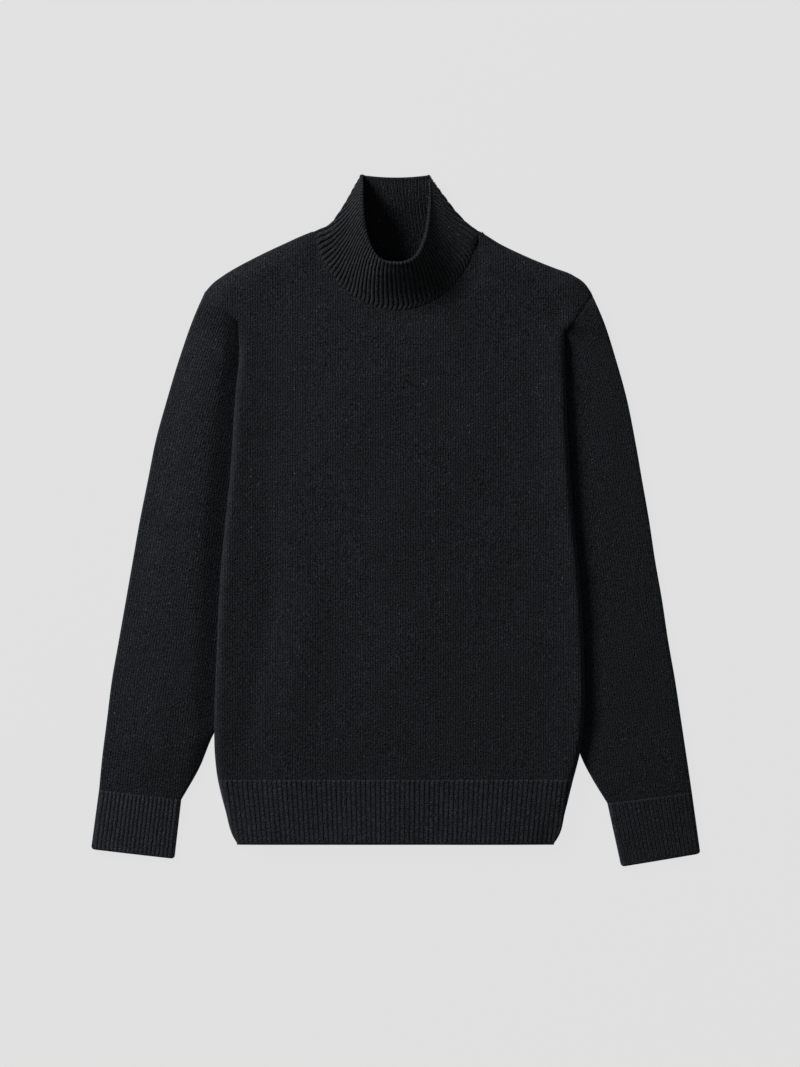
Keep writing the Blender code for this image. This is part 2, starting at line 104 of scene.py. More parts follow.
SIDE = table(
    "y left right",
    (180.0, -171.0, 187.0),
    (150.0, -173.8, 187.8),
    (110.0, -177.0, 189.2),
    (53.0, -180.6, 192.5),
    (-9.0, -187.0, 197.5),
    (-61.0, -191.6, 203.0),
    (-100.0, -193.9, 205.8),
    (-156.0, -196.2, 207.9),
    (-201.0, -198.0, 208.6),
    (-233.0, -198.6, 206.6),
    (-257.0, -197.9, 203.0),
    (-285.6, -194.7, 195.8),
    (-320.0, -186.4, 187.2),
    (-350.0, -177.3, 178.6),
    (-355.9, -173.8, 174.6),
)

# The outer and the inner fold of a sleeve, with a row for each section from the armhole down
SLEEVE = {
    "left": table(
        "outer_x outer_y inner_x inner_y",
        (-222.2, 219.5, -173.4, 199.0),
        (-237.6, 175.5, -163.0, 176.0),
        (-250.8, 131.5, -149.0, 130.0),
        (-262.9, 87.5, -138.0, 80.0),
        (-271.7, 43.5, -131.5, 32.0),
        (-280.5, -0.6, -130.5, -14.0),
        (-288.2, -44.6, -135.0, -60.0),
        (-295.9, -88.6, -145.5, -107.0),
        (-303.6, -132.6, -159.0, -154.0),
        (-311.3, -176.6, -177.0, -198.0),
        (-316.8, -220.6, -200.0, -237.0),
        (-322.3, -264.6, -216.5, -276.0),
        (-325.4, -297.0, -234.9, -308.0),
    ),
    "right": table(
        "outer_x outer_y inner_x inner_y",
        (229.8, 217.0, 184.0, 180.0),
        (243.1, 175.5, 173.8, 159.0),
        (255.2, 131.5, 159.5, 118.0),
        (264.0, 87.5, 148.5, 73.0),
        (271.7, 43.5, 141.9, 27.0),
        (279.4, -0.6, 140.8, -19.0),
        (286.0, -44.6, 146.0, -65.0),
        (293.7, -88.6, 157.0, -112.0),
        (300.3, -132.6, 170.5, -160.0),
        (308.0, -176.6, 186.5, -206.0),
        (314.6, -220.6, 203.0, -256.9),
        (321.2, -264.6, 217.8, -286.6),
        (326.4, -299.8, 233.4, -311.9),
    ),
}

# A row for each level from the neck seam to the rim: middle and half width between the folds,
# height up the garment of the folds, the centre front and the centre back, fullness of the front
# curve, how high the centre front, the left and the right side of the front and the back lie, the
# share of a side's height that is left at its fold, and by which shares of the level's length the
# ribs are drawn towards the centre front and the centre back
COLLAR = table(
    "middle half side_y front_y back_y fullness front_z left_z right_z back_z fold turn gather",
    (2.0, 87.5, 316.5, 229.9, 304.5, 1.85, 10.8, 7.8, 7.6, 1.2, 0.50, 0.0030, 0.026),
    (4.5, 76.5, 322.5, 236.4, 313.0, 2.10, 12.4, 8.4, 9.6, 1.6, 0.45, -0.0085, 0.024),
    (3.2, 64.2, 336.0, 247.4, 329.0, 2.45, 18.0, 10.4, 11.2, 4.0, 0.38, -0.0120, 0.020),
    (2.2, 53.2, 351.5, 258.9, 345.0, 2.75, 26.8, 16.6, 12.2, 8.0, 0.30, -0.0130, 0.015),
    (1.2, 43.8, 366.3, 270.1, 361.0, 2.90, 36.6, 27.4, 11.8, 10.4, 0.22, -0.0100, 0.008),
    (1.0, 36.4, 378.0, 280.8, 375.4, 2.80, 44.5, 39.0, 11.2, 10.8, 0.12, 0.0, 0.0),
)
FRONT_ANGLES = np.radians((0, 12, 25, 38, 51, 63, 74, 83, 88.5))
BACK_SHARES = np.array((0.93, 0.8, 0.6, 0.4, 0.2, 0.0))
BY_FOLD = np.array((0.68, 0.30))    # more of the height is left at the last two front angles


# ---------------------------------------------------------------- shape functions


def ease(t):
    """Rises from 0 to 1 with a level start and end, and stays there outside."""
    t = np.clip(t, 0.0, 1.0)
    return t * t * (3.0 - 2.0 * t)


def arch(share):
    """Rises from 0 at one fold (0) of a flat tube to 1 in its middle, and falls to the other (1)."""
    return np.maximum(np.sin(math.pi * share), 0.0) ** 0.7


def round_over(distance, width):
    """Rises from 0 at an edge to 1 at a distance, steep at first like a soft rolled edge."""
    return 1 - (1 - np.clip(distance / width, 0, 1)) ** 2


def rounded(distance, radius, least=0.0):
    """Share of the full thickness at a distance from an edge that is rounded off."""
    inside = 1 - np.clip(distance / radius, 0, 1)
    return np.maximum(np.sqrt(np.maximum(1 - inside**2, 0.0)), least)


def smooth_at(places, values, place):
    """Values at places on a smooth curve through the points of two columns."""
    places, values = np.asarray(places, float), np.asarray(values, float)
    if places[0] > places[-1]:
        places, values = places[::-1], values[::-1]
    slopes = np.gradient(values, places)
    place = np.clip(place, places[0], places[-1])
    i = np.clip(np.searchsorted(places, place, side="right") - 1, 0, len(places) - 2)
    span = places[i + 1] - places[i]
    t = (place - places[i]) / span
    return (
        (2 * t**3 - 3 * t**2 + 1) * values[i]
        + (t**3 - 2 * t**2 + t) * span * slopes[i]
        + (3 * t**2 - 2 * t**3) * values[i + 1]
        + (t**3 - t**2) * span * slopes[i + 1]
    )


def run_along(line):
    """How far along a line each of its points lies."""
    return np.concatenate(([0.0], np.cumsum(np.linalg.norm(np.diff(line, axis=0), axis=1))))


def distance_to(line, x, y):
    """Distance in plan from points to a line of points."""
    found = np.full(np.shape(x), np.inf)
    for start, stop in zip(line[:-1], line[1:]):
        run = stop - start
        share = ((x - start[0]) * run[0] + (y - start[1]) * run[1]) / max(run @ run, TINY)
        share = np.clip(share, 0, 1)
        away = np.hypot(start[0] + share * run[0] - x, start[1] + share * run[1] - y)
        found = np.minimum(found, away)
    return found


def ridge(x, y, line, width, height, ends):
    """A soft ridge along a line of points, or a trough if its height is negative.

    Width is its half width, and ends are the shares over which it fades in and out.
    """
    line = np.asarray(line, float)
    done = run_along(line)
    best = np.full(np.shape(x), np.inf)
    at = np.zeros(np.shape(x))
    for k, (start, stop) in enumerate(zip(line[:-1], line[1:])):
        run = stop - start
        t = np.clip(((x - start[0]) * run[0] + (y - start[1]) * run[1]) / (run @ run), 0, 1)
        away = np.hypot(x - start[0] - t * run[0], y - start[1] - t * run[1])
        at = np.where(away < best, done[k] + t * (done[k + 1] - done[k]), at)
        best = np.minimum(best, away)
    share = at / done[-1]
    fade = ease(share / ends[0]) * ease((1 - share) / ends[1])
    return height * np.exp(-(best / width) ** 2 * 1.6) * fade


def unevenness(x, y, size, seed):
    """A smooth random relief from -1 to 1, with hollows and humps of about the given size."""
    draw = np.random.default_rng(seed)
    total = np.zeros(np.shape(x))
    waves = 9
    for _ in range(waves):
        angle, phase = draw.uniform(0, math.pi), draw.uniform(0, math.tau)
        length = size * draw.uniform(0.7, 1.6)
        place = x * math.cos(angle) + y * math.sin(angle)
        total = total + np.sin(place * math.tau / length + phase)
    return total / math.sqrt(waves) / 1.4


# ---------------------------------------------------------------- outlines


def side_x(side, y):
    """Where the body's side edge is at a height."""
    foot_x, foot_y = ARMHOLE_FOOT[side]
    places = np.concatenate(([foot_y], SIDE["y"]))
    return smooth_at(places, np.concatenate(([foot_x], SIDE[side])), y)


def shoulder_y(x):
    """Height of the shoulder line at places across."""
    found = []
    for side, (tip_x, tip_y) in SHOULDER_TIP.items():
        across = np.append(np.abs(SHOULDER[side]), abs(tip_x))
        found.append(smooth_at(across, np.append(SHOULDER["y"], tip_y), np.abs(x)))
    return np.where(np.asarray(x) < 0, *found)


def even_loop(knots, count, turn, gather):
    """Evenly spaced points on a closed smooth curve through the knots.

    They are drawn to its first point by the share turn, and to its far end by the share gather.
    """
    t = np.linspace(0, 1, 16, endpoint=False)[None, :, None]
    a, b, c, d = (np.roll(knots, -k, axis=0)[:, None, :] for k in (-1, 0, 1, 2))
    points = 0.5 * (
        2 * b + (c - a) * t + (2 * a - 5 * b + 4 * c - d) * t**2
        + (3 * b - a - 3 * c + d) * t**3
    )
    points = points.reshape(-1, 3)
    points = np.vstack((points, points[:1]))
    run = run_along(points)
    share = np.arange(count) / count
    drawn = turn * np.sin(2 * math.pi * share) * (1 + 0.5 * np.cos(2 * math.pi * share))
    drawn = drawn + gather * np.sin(4 * math.pi * share) * np.sin(math.pi * share) ** 2
    wanted = (share - drawn) * run[-1]
    return np.column_stack([np.interp(wanted, run, points[:, k]) for k in range(3)])


def collar_ring(level, count):
    """Points all round the collar at a level, which may lie between two rows of its table."""
    levels = np.arange(len(COLLAR["half"]))
    row = {name: float(smooth_at(levels, column, level)) for name, column in COLLAR.items()}
    depth = row["side_y"] - row["front_y"]
    power = 2.0 / row["fullness"]
    halves = []
    for sign, side_z in ((1, row["right_z"]), (-1, row["left_z"])):
        rise = side_z + (row["front_z"] - side_z) * np.cos(FRONT_ANGLES) - row["back_z"]
        rise[-2:] *= BY_FOLD + row["fold"]
        front = np.column_stack((
            row["half"] * np.sin(FRONT_ANGLES) ** power,
            row["side_y"] - depth * np.cos(FRONT_ANGLES) ** power,
            row["back_z"] + rise,
        ))
        fold_z = row["back_z"] + (side_z - row["back_z"]) * row["fold"]
        back = np.column_stack((
            row["half"] * BACK_SHARES,
            row["back_y"] + (row["side_y"] - row["back_y"]) * BACK_SHARES**2,
            np.full(len(BACK_SHARES), row["back_z"]),
        ))
        fold = (row["half"], row["side_y"], fold_z)
        halves.append(np.vstack((front, fold, back)) * (sign, 1, 1))
    knots = np.vstack((halves[0], halves[1][-2:0:-1]))
    return even_loop(knots + (row["middle"], 0, 0), count, row["turn"], row["gather"])


def normals_of(rings):
    """Unit normals at the points of a stack of rings."""
    around = np.roll(rings, -1, axis=1) - np.roll(rings, 1, axis=1)
    normals = np.cross(around, np.gradient(rings, axis=0))
    return normals / np.maximum(np.linalg.norm(normals, axis=2, keepdims=True), TINY)


def neck_edges():
    """The panels' neck edges in plan, front and back, each from left to right."""
    count = 2 * COLLAR_RIBS
    rings = np.array([collar_ring(level, count) for level in range(len(COLLAR["half"]))])
    seam, normals = rings[0], normals_of(rings)[0]
    along = np.roll(seam, -1, axis=0) - np.roll(seam, 1, axis=0)
    away = np.column_stack((along[:, 1], -along[:, 0]))
    away = away / np.linalg.norm(away, axis=1, keepdims=True)
    overhang = np.linalg.norm(normals[:, :2], axis=1, keepdims=True) * (WALL / 2 + RIB_RISE)
    edge = seam[:, :2] + away * (overhang * NECK_REACH)
    left, right = np.argmin(edge[:, 0]), np.argmax(edge[:, 0])
    front = np.vstack((edge[left:], edge[:right + 1]))
    middle, half, side_y = (COLLAR[name][0] for name in ("middle", "half", "side_y"))
    back = seam[right:left, :2]
    back = back[np.abs(back[:, 0] - middle) < BACK_NECK_FLAT * half][::-1] + (0, BACK_NECK_LAP)
    corners = {
        sign: [(middle + sign * (half + out), side_y - down) for out, down in BACK_NECK_CORNER]
        for sign in (-1, 1)
    }
    return front, np.vstack((corners[-1], back, corners[1][::-1]))


NECK_FRONT, NECK_BACK = neck_edges()


def shoulder_line(side, neck):
    """The shoulder line in plan, from its tip to the point where it meets the neck."""
    x = np.linspace(SHOULDER_TIP[side][0], neck[0], 24)
    return np.column_stack((x, shoulder_y(x)))


def side_line(side):
    """The body's side edge in plan, from the foot of the armhole to the hem."""
    y = np.linspace(ARMHOLE_FOOT[side][1], HEM_Y, 90)
    return np.column_stack((side_x(side, y), y))


SHOULDER_LINES = (shoulder_line("left", NECK_FRONT[0]), shoulder_line("right", NECK_FRONT[-1]))
SIDE_LINES = {side: side_line(side) for side in SHOULDER_TIP}


def tuck_distance(side, x, y):
    """Distance in plan to the part of a sleeve that lies beside and under the body."""
    rows = SLEEVE[side]
    outside = math.copysign(FAR_OUT, rows["outer_x"][0])
    inner = np.column_stack((rows["inner_x"], rows["inner_y"]))[:-1]
    edge = np.vstack((inner, (outside, inner[-1, 1]), (outside, inner[0, 1]), inner[0]))
    inside = np.zeros(np.shape(x), dtype=int)
    for start, stop in zip(edge[:-1], edge[1:]):
        crossed = (start[1] > y) != (stop[1] > y)
        rise = stop[1] - start[1] or 1.0
        inside += crossed & (x < start[0] + (y - start[1]) / rise * (stop[0] - start[0]))
    return np.where(inside % 2 == 1, 0.0, distance_to(edge, x, y))


def contact_height(x, y):
    """Height at which the front and the back touch: low down, or over a tucked sleeve."""
    y = np.maximum(y, LEVEL_Y)
    rise = np.zeros(np.shape(x))
    for side, here in (("left", x < 0), ("right", x >= 0)):
        beside = ease(1 - (tuck_distance(side, x, y) - TUCK_MARGIN) / TUCK_RAMP)
        lifted = TUCK_RISE * beside * ease((ARMHOLE_FOOT[side][1] - y) / TUCK_START)
        rise = np.where(here, lifted, rise)
    return rise + WALL + SEAM_GAP / 2


# ---------------------------------------------------------------- meshes


def shell(name, inner, outer, uv, closed, sharp):
    """A mesh between two grids of points, as a tube if its rows are closed.

    uv is a grid of places in the knit: wales across and courses along, with one more column for
    a tube. Edges sharper than the angle sharp aren't smoothed over.
    """
    rows, columns = inner.shape[:2]
    last, end = rows - 1, columns - 1
    i, j = (part.ravel() for part in np.mgrid[:last, :columns if closed else end])
    k = np.arange(columns if closed else end)
    # The corners of the faces in turn, as skin (0 inner, 1 outer), row and column
    faces = [
        ((0, i, j), (0, i + 1, j), (0, i + 1, j + 1), (0, i, j + 1)),
        ((1, i, j), (1, i, j + 1), (1, i + 1, j + 1), (1, i + 1, j)),
        ((0, 0, k), (0, 0, k + 1), (1, 0, k + 1), (1, 0, k)),
        ((0, last, k + 1), (0, last, k), (1, last, k), (1, last, k + 1)),
    ]
    if not closed:
        k = np.arange(last)
        faces.append(((0, k + 1, 0), (0, k, 0), (1, k, 0), (1, k + 1, 0)))
        faces.append(((0, k, end), (0, k + 1, end), (1, k + 1, end), (1, k, end)))
    quads = np.concatenate([
        np.stack([(skin * rows + row) * columns + column % columns for skin, row, column in face], 1)
        for face in faces
    ])
    stitches = np.concatenate([
        np.stack([uv[row, column] for _, row, column in face], axis=1) for face in faces
    ])
    points = np.concatenate((inner.reshape(-1, 3), outer.reshape(-1, 3))) * MM
    mesh = bpy.data.meshes.new(name)
    mesh.vertices.add(len(points))
    mesh.vertices.foreach_set("co", points.astype(np.float32).ravel())
    mesh.loops.add(quads.size)
    mesh.loops.foreach_set("vertex_index", quads.astype(np.int32).ravel())
    mesh.polygons.add(len(quads))
    mesh.polygons.foreach_set("loop_start", np.arange(0, quads.size, 4, dtype=np.int32))
    mesh.polygons.foreach_set("loop_total", np.full(len(quads), 4, dtype=np.int32))
    layer = mesh.uv_layers.new(name="stitches")
    layer.data.foreach_set("uv", stitches.astype(np.float32).ravel())
    mesh.update(calc_edges=True)
    mesh.validate()
    mesh.shade_smooth()
    mesh.set_sharp_from_angle(angle=math.radians(sharp))
    return mesh


# ---------------------------------------------------------------- finishes


def linear(code):
    """An sRGB hex colour as linear red, green and blue."""
    parts = [int(code[k:k + 2], 16) / 255 for k in (1, 3, 5)]
    return tuple(c / 12.92 if c <= 0.04045 else ((c + 0.055) / 1.055) ** 2.4 for c in parts)


def add(tree, kind, *values, settings=None, out=0, **links):
    """Adds a node and gives one of its outputs.

    A kind in capitals is a calculation with one number or two. Inputs come in order as values, or
    by name or number as links, and each is another node's output or a constant.
    """
    node = tree.nodes.new("ShaderNodeMath" if kind.isupper() else kind)
    if kind.isupper():
        node.operation = kind
    for name, value in (settings or {}).items():
        setattr(node, name, value)
    for key, value in (*enumerate(values), *links.items()):
        if str(key)[0] == "i" and key[1:].isdigit():
            key = int(key[1:])
        socket = node.inputs[key]
        if isinstance(value, bpy.types.NodeSocket):
            tree.links.new(value, socket)
        else:
            socket.default_value = value
    return node.outputs[out]


# A stitch, measured in wales across and courses along
LEG_PLACE, LEG_NARROWNESS = 0.2, 8.4         # where its two legs stand beside its middle
LEG_LEAN = 1.3                      # courses that a leg climbs in one wale
LEG_RELIEF, COURSE_RELIEF, WALE_RELIEF = 0.45, 0.30, 0.55
YARN_WANDER = 0.7                   # how far the yarn strays
NAP_RELIEF = 2.8
RELIEF_DEPTH = 0.8 * MM


def knit_material(name, yarn, fibre, stitch_depth, nap, least_painted_wale_shade, most_painted_wale_shade):
    """Felted plain or rib knit of carded lambswool.

    To the eye it is a deep, matt, slightly bluish black. The V-shaped stitches are half hidden
    under a soft nap, so they read as faint upright lines with a broken, grainy surface, and
    single pale fibres show as specks. The upright lines are bumps together with painted shade
    in the grooves between the wales and painted light on their crests.
    """
    material = bpy.data.materials.new(name)
    material.use_nodes = True
    tree = material.node_tree
    shader = tree.nodes["Principled BSDF"]
    uv = add(tree, "ShaderNodeUVMap", settings={"uv_map": "stitches"})
    place = add(tree, "ShaderNodeTexCoord", out="Object")

    # The yarn wanders a little, so no stitch is like the next
    wander = add(
        tree, "ShaderNodeTexNoise", Vector=uv, Scale=0.45, Detail=2.0, Roughness=0.6,
        settings={"noise_dimensions": "2D"}, out="Color",
    )
    shift = add(
        tree, "ShaderNodeVectorMath", wander, (0.5, 0.5, 0.5), settings={"operation": "SUBTRACT"},
    )
    bend = add(
        tree, "ShaderNodeVectorMath", shift, Scale=YARN_WANDER, settings={"operation": "SCALE"},
    )
    where = add(tree, "ShaderNodeVectorMath", uv, bend, settings={"operation": "ADD"})
    u = add(tree, "ShaderNodeSeparateXYZ", where, out="X")
    v = add(tree, "ShaderNodeSeparateXYZ", where, out="Y")

    # Each stitch is two legs that lean towards its middle, one stitch to a turn of the cosines
    across = add(tree, "ABSOLUTE", add(tree, "SUBTRACT", add(tree, "FRACT", u), 0.5))
    wale = add(tree, "COSINE", add(tree, "MULTIPLY", across, math.tau))
    from_leg = add(tree, "SUBTRACT", across, LEG_PLACE)
    leg = add(tree, "COSINE", add(tree, "MULTIPLY", from_leg, LEG_NARROWNESS))
    lean = add(tree, "ADD", v, add(tree, "MULTIPLY", across, LEG_LEAN))
    turn = add(tree, "COSINE", add(tree, "MULTIPLY", lean, math.tau))
    legs = add(tree, "MULTIPLY", leg, LEG_RELIEF)
    stitch = add(tree, "ADD", legs, add(tree, "MULTIPLY", turn, COURSE_RELIEF))
    stitch = add(tree, "ADD", stitch, add(tree, "MULTIPLY", wale, WALE_RELIEF))

    # Nap: tufts of 1.5 mm, drawn a little coarser than real ones, slow drifts of 11 mm, patches
    # of 7 mm where it covers the wales, and spots of 2 mm that hold the pale fibres. A scale is
    # the number of grains to a metre
    tufts, felt, cover, spots = (
        add(tree, "ShaderNodeTexNoise", Vector=place, Scale=scale, Detail=detail, Roughness=rough)
        for scale, detail, rough in (
            (650.0, 1.0, 0.6), (90.0, 2.0, 0.5), (150.0, 2.0, 0.6), (520.0, 0.0, 0.5),
        )
    )
    relief = add(tree, "MULTIPLY", stitch, stitch_depth)
    height = add(tree, "ADD", relief, add(tree, "MULTIPLY", tufts, NAP_RELIEF * nap))
    bump = add(tree, "ShaderNodeBump", Strength=0.9, Distance=RELIEF_DEPTH, Height=height)
    tree.links.new(bump, shader.inputs["Normal"])

    # Colour: painted shade in the grooves between the wales and painted light on their crests,
    # grainy from fibre to fibre, with rare pale specks. Each range goes from one value to another
    # while a pattern goes from low to high
    # Strength of the painted shade between the wales and the painted light on their crests, changing
    # in patches
    painted_wale_shade = add(tree, "ShaderNodeMapRange", cover, 0.40, 0.62, least_painted_wale_shade, most_painted_wale_shade)
    grain = add(tree, "ShaderNodeMapRange", tufts, 0.29, 0.71, 1 - nap, 1 + nap)
    drift = add(tree, "ShaderNodeMapRange", felt, 0.3, 0.7, 0.88, 1.12)
    speck = add(tree, "ShaderNodeMapRange", spots, 0.76, 0.84, 0.0, 0.8)
    # Painted shade in the grooves between the wales and painted light on their crests, not a real
    # colour of the yarn
    groove = add(tree, "ADD", add(tree, "MULTIPLY", wale, painted_wale_shade), 1.0)
    shade = add(tree, "MULTIPLY", add(tree, "MULTIPLY", grain, groove), drift)
    base = add(tree, "ShaderNodeVectorMath", yarn, Scale=shade, settings={"operation": "SCALE"})
    mixed = add(
        tree, "ShaderNodeMix", i0=speck, i6=base, i7=(*fibre, 1.0),
        settings={"data_type": "RGBA"}, out=2,
    )
    tree.links.new(mixed, shader.inputs["Base Color"])
    for socket, value in (
        ("Roughness", 0.92), ("Metallic", 0.0), ("Specular IOR Level", 0.10),
        ("Sheen Weight", 0.035), ("Sheen Roughness", 0.45), ("Sheen Tint", (0.80, 0.88, 1.0, 1.0)),
    ):
        shader.inputs[socket].default_value = value
    return material


# Depth of the stitches, strength of the nap, and how strongly shade is painted into the grooves
# between the wales and light onto their crests, at least and at most. The collar's open ribs are
# pulled apart, so more painted shade goes into the grooves between them
FINISHES = {
    "plain": (0.45, 0.95, 0.0, 0.34),
    "rib": (0.45, 0.65, 0.26, 0.40),
    "open_rib": (0.5, 0.75, 0.36, 0.50),
}


def finish_of(kind):
    """The material of the plain, rib or open_rib cloth, made on first use."""
    name = "lambswool_" + kind + "_knit"
    if name in bpy.data.materials:
        return bpy.data.materials[name]
    group = bpy.context.scene.sweater_cloth
    return knit_material(name, tuple(getattr(group, kind)), tuple(group.fibre), *FINISHES[kind])


# ---------------------------------------------------------------- sheets


# For each node its cloth, its flat size and area in metres, with no area where it is a plain
# rectangle, and what it rests on
SHEETS = {
    "front_panel": ("plain", (0.43, 0.60), 0.215, ["back_panel"]),
    "back_panel": ("plain", (0.43, 0.60), 0.215, ["sleeve_left", "sleeve_right"]),
    "hem_rib_front": ("rib", (0.39, 0.0705), None, []),
    "hem_rib_back": ("rib", (0.39, 0.0705), None, []),
    "sleeve_left": ("plain", (0.30, 0.56), 0.128, []),
    "sleeve_right": ("plain", (0.30, 0.56), 0.128, []),
    "cuff_left": ("rib", (0.18, 0.064), None, []),
    "cuff_right": ("rib", (0.18, 0.064), None, []),
    "collar": ("open_rib", (0.43, 0.075), 0.0245, []),
}
SHARP = {"plain": 60.0, "rib": 80.0, "open_rib": 80.0}   # angle from which an edge stays sharp


def lay(node, inner, outer, uv, closed=False):
    """One finished piece of cloth, which stands for a CAD node."""
    kind, flat, area, rests_on = SHEETS[node]
    mesh = shell(node, inner, outer, uv, closed, SHARP[kind])
    mesh.materials.append(finish_of(kind))
    piece = bpy.data.objects.new(node, mesh)
    bpy.context.scene.collection.objects.link(piece)
    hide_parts(node)
    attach(piece, "root")


# ---------------------------------------------------------------- settings


def colour(name, description, code):
    """The setting of a colour."""
    return bpy.props.FloatVectorProperty(
        name=name, description=description, default=linear(code), subtype="COLOR", size=3,
        min=0.0, max=1.0,
    )


class SweaterCloth(bpy.types.PropertyGroup):
    """Sizes and colours of the knitted cloth."""

    wale: bpy.props.FloatProperty(
        name="Wale width", description="Width of one column of plain stitches",
        default=0.00275, min=0.001, max=0.01, unit="LENGTH",
    )
    course: bpy.props.FloatProperty(
        name="Course height", description="Height of one row of stitches",
        default=0.0020, min=0.001, max=0.01, unit="LENGTH",
    )
    plain: colour("Plain knit", "Colour of the panels and the sleeves", "#16191b")
    rib: colour("Rib", "Colour of the hem and the cuffs", "#1e1f22")
    open_rib: colour("Collar rib", "Colour of the collar", "#18191b")
    fibre: colour("Pale fibres", "Colour of the single pale fibres in the wool", "#3c4043")


class SweaterStage(bpy.types.PropertyGroup):
    """The floor, the light and the camera."""

    camera_height: bpy.props.FloatProperty(
        name="Camera height", description="Height of the camera above the floor",
        default=5.0, min=1.0, max=20.0, unit="LENGTH",
    )
    view_length: bpy.props.FloatProperty(
        name="View length", description="Length of floor from the lower to the upper edge",
        default=1.1737, min=0.5, max=5.0, unit="LENGTH",
    )
    light: bpy.props.FloatProperty(
        name="Light", description="Strength of the large soft light on the upper left",
        default=5.65, min=0.0, max=100.0,
    )
    fill: bpy.props.FloatProperty(
        name="Fill", description="Strength of the even light from all round",
        default=0.20, min=0.0, max=5.0,
    )


def stitch_size():
    """Width of a wale and height of a course in millimetres."""
    group = bpy.context.scene.sweater_cloth
    return group.wale / MM, group.course / MM


# ---------------------------------------------------------------- panels


EDGE_STEPS = np.array((0.0, 0.15, 0.5, 1.1, 1.8, 2.6, 4.0, 6.2, 9.0))    # first points by an edge
CELL = 3.2                          # size of a panel's faces away from its edges
ARMHOLE_SHARE = 0.09                # share of a panel's lines that end at its armholes
SIDE_PULL = 0.29                    # share of its width in which they bend to meet its sides


def fine_ends(length, count, steps):
    """Places along a length, with the given first and last steps and count points between."""
    middle = np.linspace(steps[-1], length - steps[-1], count)[1:-1]
    return np.concatenate((steps, middle, length - steps[::-1]))


def side_points(side, shares):
    """Points on a panel's side edge: down the armhole to its foot, then down the side."""
    tip, foot = np.array(SHOULDER_TIP[side]), np.array(ARMHOLE_FOOT[side])
    in_armhole = tip + (foot - tip) * (shares[:, None] / ARMHOLE_SHARE)
    y = foot[1] + (RIB_SEAM_Y - foot[1]) * (shares - ARMHOLE_SHARE) / (1 - ARMHOLE_SHARE)
    below = np.column_stack((side_x(side, y), y))
    return np.where((shares <= ARMHOLE_SHARE)[:, None], in_armhole, below)


def panel_shares(neck):
    """Shares of the width and height at which a panel's lines run."""
    left, top = SHOULDER_TIP["left"]
    width, height = SHOULDER_TIP["right"][0] - left, top - RIB_SEAM_Y
    run = run_along(neck)
    neck_x = np.interp(np.linspace(0, run[-1], int(run[-1] / CELL)), run, neck[:, 0])
    neck_u = (neck_x - left) / width
    edge = EDGE_STEPS / width
    count = int(neck_u[0] * width / CELL)
    by_left = np.linspace(edge[-1], neck_u[0], count)[1:-1]
    by_right = np.linspace(neck_u[-1], 1 - edge[-1], count)[1:-1]
    columns = np.concatenate((edge, by_left, neck_u, by_right, 1 - edge[::-1]))
    return columns, fine_ends(1, int(height / CELL), EDGE_STEPS / height)


def panel_plan(neck):
    """Plan of a panel: rows of points from its shoulders and neck edge down to the hem rib."""
    columns, rows = panel_shares(neck)
    ends = {side: side_points(side, np.array((0.0, 1.0))) for side in SHOULDER_TIP}
    x = ends["left"][0, 0] + (ends["right"][0, 0] - ends["left"][0, 0]) * columns
    in_neck = (x > neck[0, 0] - TINY) & (x < neck[-1, 0] + TINY)
    y = np.where(in_neck, np.interp(x, neck[:, 0], neck[:, 1]), shoulder_y(x))
    top = np.column_stack((x, y))[None]
    low = (ends["left"][1] + (ends["right"][1] - ends["left"][1]) * columns[:, None])[None]
    v = rows[:, None, None]
    plan = (1 - v) * top + v * low
    for side, share in (("left", columns), ("right", 1 - columns)):
        straight = (1 - v) * ends[side][0] + v * ends[side][1]
        pull = (1 - ease(share / SIDE_PULL))[None, :, None]
        plan = plan + pull * (side_points(side, rows)[:, None, :] - straight)
    return plan


# Height of the front's upper side across the body, from the left fold (0) to the right (1), and
# how much of what exceeds the shoulders' height there is at places up the garment
SHOULDER_HEIGHT = 11.5
BODY_ACROSS = table(
    "share height",
    (0.0, 16.2), (0.02, 16.2), (0.06, 14.4), (0.11, 12.7), (0.16, 12.6), (0.25, 12.9),
    (0.37, 13.3), (0.48, 13.3), (0.6, 12.9), (0.72, 12.4), (0.84, 12.0), (0.92, 13.0),
    (0.96, 15.3), (1.0, 18.4),
)
BODY_ALONG = table(
    "y amount",
    (-356.0, -0.45), (-320.0, -0.1), (-286.0, 0.4), (-240.0, 0.85), (-150.0, 1.0), (40.0, 1.0),
    (130.0, 0.9), (190.0, 0.72), (240.0, 0.3), (320.0, 0.0),
)

# Soft folds of the front: line, half width, height, shares over which it fades in and out
FRONT_FOLDS = (
    (((-137, 76), (-135, -88), (-155, -198), (-172, -280)), 18.0, -2.0, (0.45, 0.12)),
    (((-90, -40), (-98, -120), (-108, -200), (-118, -262)), 24.0, 2.0, (0.4, 0.3)),
    (((-70, 190), (-60, 120), (-40, 30)), 50.0, 1.6, (0.4, 0.5)),
    (((40, -250), (30, -150), (36, -60)), 30.0, 0.9, (0.4, 0.5)),
    (((110, 170), (120, 60), (128, -60), (120, -200)), 40.0, -0.8, (0.3, 0.4)),
    (((176, 246), (178, 215), (181, 190)), 9.0, -1.6, (0.45, 0.4)),
    (((222, 262), (208, 225), (196, 195)), 42.0, -2.8, (0.15, 0.5)),
)
BODY_UNEVEN, BODY_HUMP = 0.8, 110.0          # height and size of the small random hollows and humps

